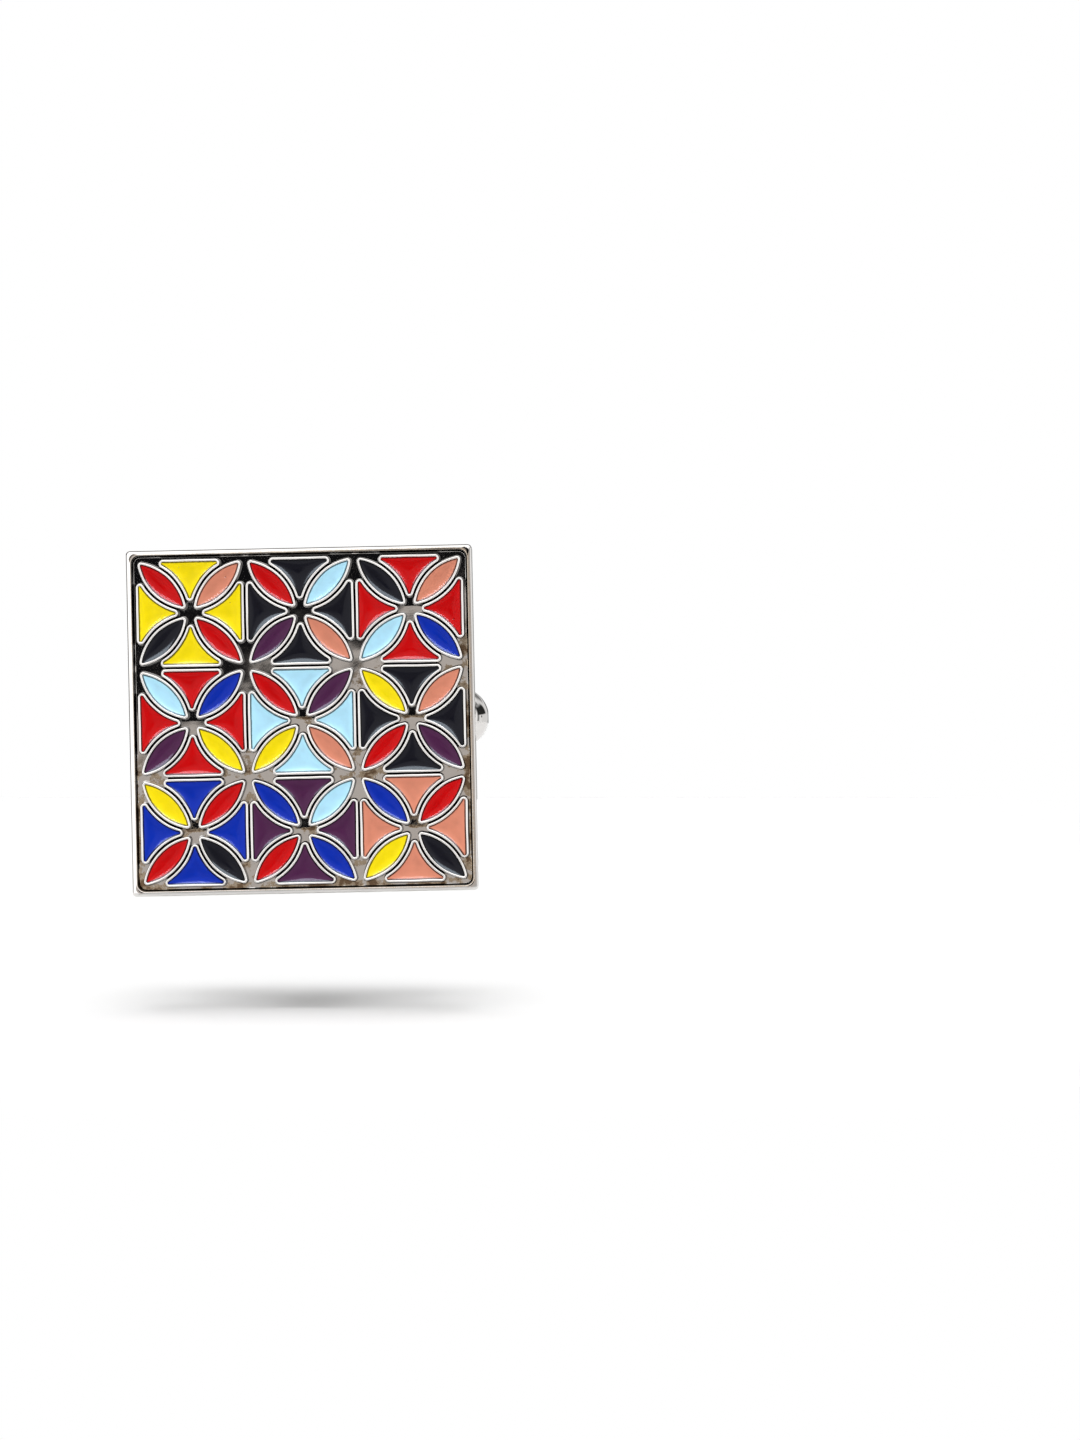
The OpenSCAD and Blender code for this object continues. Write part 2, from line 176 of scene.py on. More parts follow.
class CufflinkFaceSizes(PropertyGroup):
    """Sizes of the face plate, its walls and its enamel"""

    corner_radius: length("Corner radius", "Radius of the plate's corners, seen from the front", 0.2)
    back_bevel: length("Back bevel", "Bevel round the plate's back edge", 0.3)
    front_bevel: length("Front bevel", "Bevel round the plate's front edge", 0.06)
    rim_width: length("Rim width", "Width of the raised rim", 0.25)
    rim_fall: length("Rim fall", "How far the rim falls from its inner to its outer edge", 0.009)
    rim_crest: length("Rim crest", "Width of the rim's slope into the field", 0.03)
    rim_draft: length("Rim draft", "How far the rim's inside leans out from top to foot", 0.01)
    field_corner_radius: length("Field corner radius", "Radius in the corners of the sunken field", 0.4)
    field_fillet: length("Field fillet", "Fillet between the rim's inside and the field's floor", 0.06)
    edge_softness: length("Edge softness", "Rounding of the plate's sharp edges", 0.016)
    edge_channel: length("Edge channel", "Gap between the rim and the outermost tiles", 0.15)
    wall_width: length("Wall width", "Width of the metal wall round each cell", 0.125)
    wall_crown: length("Wall crown", "Height of the rounded top of a wall", 0.05)
    wall_support: length("Wall support", "Depth of the upright band under the rounded top", 0.02)
    channel_width: length("Channel width", "Gap between neighbouring walls", 0.09)
    wall_flare: length("Wall flare", "How far a wall's outer side leans out at its foot", 0.05)
    petal_tip_radius: length("Petal tip radius", "Radius at the tips of a petal's enamel", 0.06)
    petal_tip_outer: length("Petal wall tip radius", "Radius at the tips of a petal's wall", 0.17)
    dart_tip_radius: length("Dart apex radius", "Radius at the apex of a dart's enamel", 0.073)
    dart_corner_radius: length("Dart corner radius", "Radius at the base corners of a dart's enamel", 0.085)
    dart_middle: length("Dart middle", "How far a dart's deepest place lies from its base", 0.58)
    enamel_edge: length("Enamel edge", "How far the enamel's edge lies below the tops of its walls", 0.03)
    dish_depth: length("Dish depth", "How far the enamel sinks between its walls", 0.16)
    dish_reach: length("Dish reach", "How quickly the enamel sinks away from a wall", 0.25)
    overlap: length("Overlap", "How far the enamel runs into its wall, and a wall into the floor", 0.02)
    wobble: length("Wobble", "How far the hand-finished walls stray from their drawn lines", 0.014)
    wobble_pitch: length("Wobble pitch", "Length over which the walls stray", 0.9)
    level_spread: length("Level spread", "How far the enamel's height differs from cell to cell", 0.012)
    tilt_spread: share("Tilt spread", "Slope by which the enamel leans, from cell to cell", 0.02)
    seed: IntProperty(name="Seed", description="Seed of the differences from cell to cell", default=7)


class CufflinkBackSizes(PropertyGroup):
    """Sizes of the stirrup, the pivot, the toggle and its click"""

    strap_edge: length("Strap edge", "Rounding of the stirrup's edges", 0.14)
    foot_corner_radius: length("Foot corner radius", "Radius of the corners of the stirrup's foot", 0.8)
    solder_lumps: length("Solder lumps", "How far the solder's surface strays", 0.05)
    pin_edge: length("Pin edge", "Rounding of the pin's edges", 0.05)
    pin_radius: length("Pin radius", "Radius of the pivot pin", 0.9)
    washer_thickness: length("Washer thickness", "Thickness of a washer", 0.5)
    washer_edge: length("Washer edge", "Rounding of the washers' edges", 0.06)
    clearance: length("Clearance", "Gap on each side of a piece that turns or slides", 0.05)
    bore_radius: length("Bore radius", "Radius of the bore along the barrel", 1.3)
    shank_radius: length("Shank radius", "Radius of a nose's shank in the barrel", 1.29)
    pocket_radius: length("Pocket radius", "Radius of the spring's pocket in a nose", 1.025)
    pocket_depth: length("Pocket depth", "Depth of the pocket past the barrel's end", 1.6)
    flat_radius: length("Flat radius", "Radius of the sunken flat under a washer", 1.9)
    flat_depth: length("Flat depth", "Depth of the flats under the washers", 0.3)
    seam_radius: length("Seam radius", "Rounding on each side of the seam between barrel and nose", 0.08)
    cut_edge: length("Cut edge", "Rounding of the edges that the flats and holes leave", 0.05)
    nose_tip_radius: length("Nose tip radius", "Radius of the round end of a nose", 1.56)
    tip_flat_radius: length("Tip flat radius", "Radius of the small flat at the tip", 0.3)
    stub_radius: length("Stub radius", "Radius of the plunger's stub", 0.55)
    stub_length: length("Stub length", "Length of the plunger's stub", 0.6)
    plunger_edge: length("Plunger edge", "Rounding of a plunger's edges", 0.08)
    wire_radius: length("Wire radius", "Radius of the spring's wire", 0.15)
    spring_curls: IntProperty(name="Spring curls", description="Curls in a spring", default=5)


class CufflinkColours(PropertyGroup):
    """Colours of the metals and the enamels"""

    plating: colour("Plating", "Bright plated metal", (0.75, 0.73, 0.71))
    stain: colour("Stain", "Brown stains in the channels", (0.16, 0.09, 0.045))
    tan_stain: colour("Tan stain", "Pale edges of the stains in the channels", (0.45, 0.34, 0.21))
    # These three colours paint shade and a reflection of the black card on the walls and the rim: a beige
    # fringe, then brown, then black
    beige_fringe: colour("Film", "Beige film where residue starts", (0.66, 0.54, 0.4))
    thin_painted_shade: colour("Thin residue", "Residue where it is thin", (0.2, 0.13, 0.075))
    thick_painted_shade: colour("Thick residue", "Residue where it is thick", (0.01, 0.009, 0.008))
    solder: colour("Solder", "Solder round the stirrup's foot", (0.58, 0.57, 0.55))
    solder_pit: colour("Solder pit", "Pits in the solder", (0.12, 0.11, 0.1))
    steel: colour("Steel", "Steel of the pin, washers and plungers", (0.6, 0.6, 0.61))
    spring_steel: colour("Spring steel", "Drawn wire of the springs", (0.35, 0.36, 0.39))
    red: colour("Red", "Red enamel", (0.5776, 0.0, 0.0009))
    yellow: colour("Yellow", "Yellow enamel", (0.9647, 0.7605, 0.0015))
    salmon: colour("Salmon", "Salmon enamel", (0.7011, 0.2542, 0.162))
    black: colour("Black", "Black enamel", (0.007, 0.007, 0.012))
    light_blue: colour("Light blue", "Light blue enamel", (0.4621, 0.807, 1.0))
    purple: colour("Purple", "Purple enamel", (0.0742, 0.016, 0.0648))
    blue: colour("Blue", "Blue enamel", (0.0012, 0.0252, 0.4125))
    studio_grey: colour("Studio grey", "Warm grey card by the camera, which flat metal mirrors",
                        (0.536, 0.495, 0.462))
    studio_black: colour("Studio black", "Black card beside the grey one", (0.006, 0.006, 0.007))


class CufflinkStudio(PropertyGroup):
    """Camera, floor and light"""

    camera_distance: length("Camera distance", "Distance from the camera to the front of the face", 200)
    camera_right: length("Camera right", "How far the camera stands right of the face's middle", 11.69)
    camera_up: length("Camera up", "How far the camera stands above the face's middle", -0.22)
    camera_roll: angle("Camera roll", "Roll by which the face leans in the picture", 1.2)
    view_height: length("View height", "Height of the picture in the plane of the face", 70.76)
    floor_level: length("Floor level", "Height of the floor", -14.2)
    floor_size: length("Floor size", "Width and depth of the floor", 600)
    floor_front: length("Floor front", "How far the floor reaches in front of the face", 60)
    floor_side: length("Floor side", "How far the floor reaches to either side of the face", 60)
    floor_fade: length("Floor fade", "Width of the band in which the floor's front and sides fade out", 40)
    floor_colour: share("Floor colour", "Paleness of the floor", 0.61)
    floor_glow: level("Floor glow", "Light of the floor's own, which only the picture shows", 0.03)
    ambient: level("Ambient", "Plain light from all around", 0.42)
    overhead: level("Overhead", "Irradiance of all the lights overhead", 3.7)
    overhead_lights: IntProperty(name="Overhead lights", description="Soft lights in the row overhead",
                                 default=5, min=2)
    overhead_spread: angle("Overhead spread", "Angle that each light overhead takes up", 33)
    overhead_front: angle("Overhead front", "Angle from overhead to the nearest light of the row", 20)
    overhead_rear: angle("Overhead rear", "Angle from overhead to the farthest light of the row", 19)
    fill: level("Fill", "Irradiance of the soft light in front", 1.03)
    fill_spread: angle("Fill spread", "Angle that the light in front takes up", 60)
    fill_front: angle("Fill front", "Angle between overhead and the light in front", 72)
    softbox: level("Softbox", "Brightness of the softbox in front and above, as metal mirrors it", 1.0)
    glaze_softbox: level("Glaze softbox", "Brightness of the softbox that only the enamel mirrors", 26)
    glaze_softbox_colour: colour("Glaze softbox colour", "Colour of the enamel's softbox",
                                 (0.76, 0.88, 1.0))
    glaze_softbox_width: length("Glaze softbox width", "Width of the enamel's softbox", 400)
    glaze_softbox_height: length("Glaze softbox height", "Height of the enamel's softbox", 220)
    glaze_softbox_front: length("Glaze softbox front", "How far it stands in front of the face", 146)
    glaze_softbox_up: length("Glaze softbox up", "How far it stands above the face's middle", 200)
    side_softbox: level("Side softbox", "Brightness of the side softboxes, as metal mirrors them", 0.6)
    surround: level("Surround", "Brightness of the bright surround, as metal mirrors it", 1.6)


class Millimetres:
    """The lengths of a property group, in the millimetres that the meshes are modelled in."""

    def __init__(self, group):
        self.group = group

    def __getattr__(self, name):
        return getattr(self.group, name) / MM


class Link:
    """A node's output that can stand in a Python expression, which adds the Math nodes it needs."""

    def __init__(self, shader, socket):
        self.shader = shader
        self.socket = socket

    def maths(self, operation, *values):
        return self.shader.node("ShaderNodeMath", {"operation": operation}, dict(enumerate(values)))

    def __add__(self, other):
        return self.maths("ADD", self, other)

    __radd__ = __add__

    def __sub__(self, other):
        return self.maths("SUBTRACT", self, other)

    def __rsub__(self, other):
        return self.maths("SUBTRACT", other, self)

    def __mul__(self, other):
        return self.maths("MULTIPLY", self, other)

    __rmul__ = __mul__

    def __truediv__(self, other):
        return self.maths("DIVIDE", self, other)

    def __pow__(self, other):
        return self.maths("POWER", self, other)

    def __neg__(self):
        return self.maths("MULTIPLY", self, -1.0)

    def __abs__(self):
        return self.maths("ABSOLUTE", self)

    def or_more(self, other):
        """The greater of two values."""
        return self.maths("MAXIMUM", self, other)

    def within_tile(self, pitch):
        """A place as it lies in its own tile, from the tile's middle."""
        return self.maths("WRAP", self, pitch / 2, -pitch / 2)


class Shader:
    """The node tree of one material or world."""

    def __init__(self, owner):
        owner.use_nodes = True
        self.tree = owner.node_tree
        self.tree.nodes.clear()

    def node(self, kind, settings=None, inputs=None, output=0):
        """Adds a node of a type, with its settings and the values or links of its sockets."""
        made = self.tree.nodes.new(kind)
        for name, value in (settings or {}).items():
            setattr(made, name, value)
        for name, value in (inputs or {}).items():
            if isinstance(value, Link):
                self.tree.links.new(value.socket, made.inputs[name])
            else:
                made.inputs[name].default_value = value
        return Link(self, made.outputs[output]) if made.outputs else made

    def point(self, stretch=(1.0, 1.0, 1.0)):
        """Object coordinates in millimetres, stretched by a factor along each axis."""
        coordinates = self.node("ShaderNodeTexCoord", output="Object")
        return self.node("ShaderNodeVectorMath", {"operation": "MULTIPLY"},
                         {0: coordinates, 1: [factor / MM for factor in stretch]})

    def parts(self, vector):
        """The three numbers of a vector."""
        split = self.node("ShaderNodeSeparateXYZ", inputs={0: vector})
        return [Link(self, output) for output in split.socket.node.outputs]

    def noise(self, point, scale, detail=3.0, roughness=0.5):
        return self.node("ShaderNodeTexNoise", inputs={
            "Vector": point, "Scale": scale, "Detail": detail, "Roughness": roughness})

    def spots(self, point, scale, low, high):
        """1 in scattered spots, whose edges fade from low to high."""
        cells = self.node("ShaderNodeTexVoronoi", inputs={"Vector": point, "Scale": scale})
        return self.fall(cells, low, high)

    def attribute(self, name):
        """The piece's own value for each place."""
        return self.node("ShaderNodeAttribute", {"attribute_name": name}, output="Fac")

    def rays(self, *names):
        """1 for the named kinds of ray, such as Is Camera Ray, and 0 for the others."""
        path = self.node("ShaderNodeLightPath").socket.node.outputs
        kinds = [Link(self, path[name]) for name in names]
        return self.step(sum(kinds[1:], kinds[0]), 0.0, 1.0)

    def step(self, value, low, high):
        """0 below low, 1 above high and smooth between them."""
        return self.node("ShaderNodeMapRange", {"interpolation_type": "SMOOTHSTEP"},
                         {"Value": value, "From Min": low, "From Max": high})

    def fall(self, value, low, high):
        """1 below low, 0 above high and smooth between them."""
        return 1.0 - self.step(value, low, high)

    def window(self, value, start, full, fade, gone):
        """1 from full to fade, 0 before start and past gone, and smooth between them."""
        return self.step(value, start, full) * self.fall(value, fade, gone)

    def mix(self, factor, first, second):
        """A mix of two colours."""
        shades = {6: first, 7: second}
        for slot, shade in shades.items():
            if not isinstance(shade, Link):
                shades[slot] = (*shade, 1.0)
        return self.node("ShaderNodeMix", {"data_type": "RGBA"}, {0: factor, **shades}, output=2)

    def grey(self, value):
        """A colour with the same number in all three channels."""
        return self.node("ShaderNodeCombineXYZ", inputs={0: value, 1: value, 2: value})

    def bump(self, height, distance):
        """A normal from a height, whose unit is given in millimetres."""
        return self.node("ShaderNodeBump", inputs={"Height": height, "Distance": distance * MM})

    def surface(self, inputs):
        """Ends the tree with a Principled BSDF."""
        shader = self.node("ShaderNodeBsdfPrincipled", inputs=inputs)
        self.node("ShaderNodeOutputMaterial", inputs={"Surface": shader})


def new_material(name):
    material = bpy.data.materials.new(name)
    return material, Shader(material)


def scaled(shade, factor):
    """A colour with each channel times a factor."""
    return [channel * factor for channel in shade]


class Plating:
    """Polished plating in the making: faint swirls, scratches and slow waves, which painted shade and a
    painted reflection may cover.
    """

    def __init__(self, name, tint, satin=0.0):
        self.material, shader = new_material(name)
        self.shader = shader
        self.point = shader.point()
        self.cloud = shader.noise(self.point, scale=0.8, detail=4.0)
        self.scratches = shader.noise(shader.point((1.0, 7.0, 9.0)), scale=3.0, detail=2.0)
        self.grain = shader.noise(self.point, scale=14.0, detail=2.0)
        waves = shader.noise(self.point, scale=0.55, detail=1.0)
        swirls = 0.02 * shader.step(self.cloud, 0.35, 0.75)
        self.shade = shader.mix(shader.step(self.cloud, 0.3, 0.8), tint, scaled(tint, 0.94))
        self.roughness = 0.02 + satin + swirls + (0.02 + satin) * self.scratches
        self.height = waves * 0.7 + self.grain * 0.006

    def stain_field(self, colours, pitch):
        """Stains the sunken field's floor in its lower right, most along its border, and paints a brown
        reflection along its creases.
        """
        shader = self.shader
        across, depth, upward = shader.parts(self.point)
        floor = ENAMEL_HIGH.y
        low = shader.window(depth, floor - 0.25, floor - 0.03, floor + 0.1, floor + 0.2)
        edge = WALL_HIGH.x + STAIN_MARGIN
        reach = abs(across).or_more(abs(upward))
        inside = shader.fall(reach, edge, edge + 0.05)
        border = shader.step(reach, edge - 0.35, edge - 0.2)
        lower_right = shader.fall(upward - CORNER_LEAN * across, 0.5, 2.0)
        # The floor dips towards the upper dart in the middle of every tile, from a crease along which a
        # brown reflection is painted
        star_x = abs(across.within_tile(pitch))
        above_crease = upward.within_tile(pitch) + (self.cloud - 0.5) * 0.3 - CREASE_HEIGHT
        near_star = shader.fall(star_x, 0.35, 0.7) * shader.fall(above_crease, 0.5, 0.8)
        self.height = self.height - above_crease.or_more(0.0) * near_star * low * CREASE_DIP
        # A painted reflection: brown along each crease below a star
        painted_crease_reflection = shader.fall(abs(above_crease), 0.03, 0.1) * near_star
        blotches = shader.noise(self.point, scale=1.3, detail=5.0, roughness=0.65)
        stains = blotches + 0.08 * border + 0.12 * painted_crease_reflection
        stained = low * inside * lower_right
        pale = shader.step(stains, 0.52, 0.57) * stained * 0.8
        brown = shader.step(stains, 0.6, 0.66) * stained * 0.85
        self.shade = shader.mix(pale, self.shade, colours.tan_stain)
        self.shade = shader.mix(brown, self.shade, colours.stain)
        dull = shader.step(stains, 0.52, 0.6) * stained * 0.12
        # The plate's flat back isn't polished
        unpolished = (0.1 + 0.1 * self.scratches) * shader.step(depth, -0.03, -0.01)
        self.roughness = self.roughness + dull + unpolished

    def cover_with_painted_shade(self, colours):
        """Paints the shade and reflection that the attribute marks: a beige fringe where the mark is faint,
        and black where it is strong.
        """
        step, mix = self.shader.step, self.shader.mix
        uneven = self.shader.attribute("residue") + (self.grain - 0.5) * 0.3
        deep_shade = step(uneven, 0.3, 0.62)
        # Painted shade and reflection: beige at the faint edge, then brown, then black
        self.shade = mix(step(uneven, 0.05, 0.14) * 0.7, self.shade, colours.beige_fringe)
        self.shade = mix(step(uneven, 0.14, 0.3) * 0.6, self.shade, colours.thin_painted_shade)
        self.shade = mix(deep_shade * 0.97, self.shade, colours.thick_painted_shade)
        self.roughness = self.roughness + deep_shade * 0.3

    def finish(self):
        """Ends the material and returns it."""
        self.shader.surface({
            "Base Color": self.shade,
            "Metallic": 1.0,
            "Roughness": self.roughness,
            "Normal": self.shader.bump(self.height, 0.012),
        })
        return self.material


def satin_metal(name, tint, roughness, stretch):
    """Machined or drawn metal, with its marks stretched by a factor along each axis."""
    material, shader = new_material(name)
    marks = shader.noise(shader.point(stretch), scale=2.2, detail=3.0, roughness=0.6)
    cloud = shader.noise(shader.point(), scale=1.1, detail=3.0)
    shader.surface({
        "Base Color": shader.mix(marks, scaled(tint, 0.82), tint),
        "Metallic": 1.0,
        "Roughness": roughness + 0.12 * marks + 0.08 * shader.step(cloud, 0.4, 0.7),
        "Normal": shader.bump(marks, 0.006),
    })
    return material


def solder_metal(name, tint, pit):
    """Flowed solder: dull, pitted and slightly lumpy."""
    material, shader = new_material(name)
    point = shader.point()
    lumps = shader.noise(point, scale=1.8, detail=4.0)
    pitted = shader.spots(point, scale=3.5, low=0.05, high=0.16)
    metal = shader.mix(shader.step(lumps, 0.35, 0.7), scaled(tint, 0.62), tint)
    shader.surface({
        "Base Color": shader.mix(pitted * 0.7, metal, pit),
        "Metallic": 1.0,
        "Roughness": 0.24 + 0.2 * lumps,
        "Normal": shader.bump(lumps - pitted * 0.4, 0.05),
    })
    return material


def glass_enamel(name, tint):
    """Fired enamel: mottled, with painted shade in a thin dark line along its wall, pinholes and a soft
    unevenness.
    """
    material, shader = new_material(name)
    point = shader.point()
    reach = shader.attribute("reach")
    mottle = shader.noise(point, scale=1.6, detail=3.0)
    swell = shader.noise(point, scale=1.2, detail=0.0)
    fine = shader.noise(point, scale=7.0, detail=2.0)
    # A thin line of painted shade darkens the enamel where it meets its wall
    painted_shade_by_wall = shader.fall(reach + (fine - 0.5) * 0.03, 0.055, 0.1)
    pool = shader.step(reach, 0.05, 0.4)
    pinhole = shader.spots(point, scale=1.1, low=0.03, high=0.055)
    body = shader.mix(shader.step(mottle, 0.3, 0.75), tint, scaled(tint, 0.88))
    thin = shader.mix(0.5, tint, [min(1.0, channel * 1.06 + 0.004) for channel in tint])
    with_painted_shade = shader.mix(painted_shade_by_wall * 0.92, shader.mix(pool, thin, body), scaled(tint, 0.05))
    shader.surface({
        "Base Color": shader.mix(pinhole * 0.6, with_painted_shade, scaled(tint, 0.25)),
        "Roughness": 0.1 + 0.06 * fine + 0.25 * pinhole,
        "IOR": 1.5,
        "Specular IOR Level": 0.1,
        "Normal": shader.bump(swell * 1.2 + fine * 0.01 - pinhole * 0.8, 0.012),
    })
    return material


def add_to_scene(name, data):
    """Adds an object to the scene."""
    made = bpy.data.objects.new(name, data)
    bpy.context.scene.collection.objects.link(made)
    return made


def to_mesh(bm, name):
    """Turns a bmesh into a mesh."""
    mesh = bpy.data.meshes.new(name)
    bm.to_mesh(mesh)
    bm.free()
    return mesh


def new_piece(bm, name, place=Matrix.Identity(4)):
    """Makes an object of a mesh modelled in millimetres, with its place in its mesh."""
    bmesh.ops.transform(bm, matrix=Matrix.Scale(MM, 4) @ place, verts=bm.verts[:])
    for face in bm.faces:
        face.smooth = True
    return add_to_scene(name, to_mesh(bm, name))


def apply_modifiers(piece):
    """Replaces a piece's mesh by what its modifiers make of it."""
    graph = bpy.context.evaluated_depsgraph_get()
    mesh = bpy.data.meshes.new_from_object(piece.evaluated_get(graph))
    piece.modifiers.clear()
    piece.data = mesh


def add_weighted_normals(piece):
    """Keeps flats flat and lets their rounded edges carry all of the turn."""
    normals = piece.modifiers.new("Flat faces", "WEIGHTED_NORMAL")
    normals.mode = "FACE_AREA"
    normals.weight = 100
    normals.keep_sharp = True


def add_edge_rounding(piece, radius, segments=3, limit=30):
    """Rounds a piece's sharp edges."""
    rounding = piece.modifiers.new("Rounded edges", "BEVEL")
    rounding.width = radius * MM
    rounding.segments = segments
    rounding.limit_method = "ANGLE"
    rounding.angle_limit = math.radians(limit)
    rounding.use_clamp_overlap = True


def dress(piece, body, slot, material, *nodes):
    """Gives a piece its finish, lets it ride on a body and lets it stand for frame nodes."""
    piece.data.materials.clear()
    piece.data.materials.append(material)
    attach(piece, body)
    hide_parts(*nodes)


def loop_edges(verts):
    """The edges that join verts to each other, in the order of the verts."""
    chosen = set(verts)
    joined = (edge for vert in verts for edge in vert.link_edges if edge.other_vert(vert) in chosen)
    return list(dict.fromkeys(joined))


def weld(bm, verts=None, distance=WELD_DISTANCE):
    """Merges vertices that lie in one place."""
    bmesh.ops.remove_doubles(bm, verts=verts or bm.verts[:], dist=distance)


def face_outwards(bm):
    bmesh.ops.recalc_face_normals(bm, faces=bm.faces[:])


def polar(radius, degrees):
    """A step of a radius in a direction, counted from x towards y."""
    turn = math.radians(degrees)
    return Vector((radius * math.cos(turn), radius * math.sin(turn), 0.0))


def arc(bm, pen, centre, degrees, steps):
    """Draws an arc about a centre from the pen's vertex, and returns the vertex where it ends."""
    made = bmesh.ops.spin(bm, geom=[pen], cent=(centre[0], centre[1], pen.co.z), axis=(0, 0, 1),
                          angle=math.radians(degrees), steps=steps)
    return next(item for item in made["geom_last"] if isinstance(item, bmesh.types.BMVert))


def line(bm, pen, end, steps=1):
    """Draws a straight line from the pen's vertex to an end, and returns its last vertex."""
    stride = (Vector(end) - pen.co) / steps
    for _ in range(steps):
        pen = bmesh.ops.extrude_vert_indiv(bm, verts=[pen])["verts"][0]
        pen.co += stride
    return pen


def lines(bm, *corners):
    """Draws straight lines from corner to corner, and returns the last vertex."""
    pen = bm.verts.new(corners[0])
    for corner in corners[1:]:
        pen = line(bm, pen, corner)
    return pen


def close_outline(bm, known):
    """Welds the outline drawn since known was taken and returns its vertices."""
    weld(bm, [vert for vert in bm.verts if vert not in known])
    return [vert for vert in bm.verts if vert not in known]


def rounded_rectangle(bm, width, height, radius, level_z, steps=8):
    """Draws a rounded rectangle about the origin and returns its face."""
    grid = bmesh.ops.create_grid(bm, x_segments=1, y_segments=1, size=0.5)["verts"]
    bmesh.ops.scale(bm, vec=(width, height, 1.0), verts=grid)
    bmesh.ops.translate(bm, vec=(0.0, 0.0, level_z), verts=grid)
    made = bmesh.ops.bevel(bm, geom=grid, offset=radius, offset_type="OFFSET", segments=steps, profile=0.5,
                           affect="VERTICES", material=-1, clamp_overlap=False)
    return made["verts"][0].link_faces[0]


def bridge(bm, rims):
    """Bridges a row of loops of edges, one to the next."""
    for first, second in zip(rims, rims[1:]):
        bmesh.ops.bridge_loops(bm, edges=first + second)
    face_outwards(bm)


def loft(bm, faces):
    """Bridges a row of faces, one to the next, and keeps the first and the last of them as ends."""
    rims = [list(face.edges) for face in faces]
    bmesh.ops.delete(bm, geom=faces[1:-1], context="FACES_ONLY")
    bridge(bm, rims)


def soften(bm, offset, segments=2, limit=25):
    """Rounds the edges of a mesh whose faces meet at more than a limit, in degrees."""
    turn = math.radians(limit)
    sharp = [edge for edge in bm.edges if len(edge.link_faces) == 2 and edge.calc_face_angle() > turn]
    bmesh.ops.bevel(bm, geom=sharp, offset=offset, offset_type="OFFSET", segments=segments,
                    profile=0.5, affect="EDGES", material=-1, clamp_overlap=True)


def turned(bm, steps=96, axis=(1, 0, 0)):
    """Spins the sections in a mesh all the way round an axis through the origin."""
    weld(bm)
    bmesh.ops.spin(bm, geom=bm.verts[:] + bm.edges[:], cent=(0, 0, 0), axis=axis,
                   angle=math.tau, steps=steps, use_merge=True)
    weld(bm)
    face_outwards(bm)


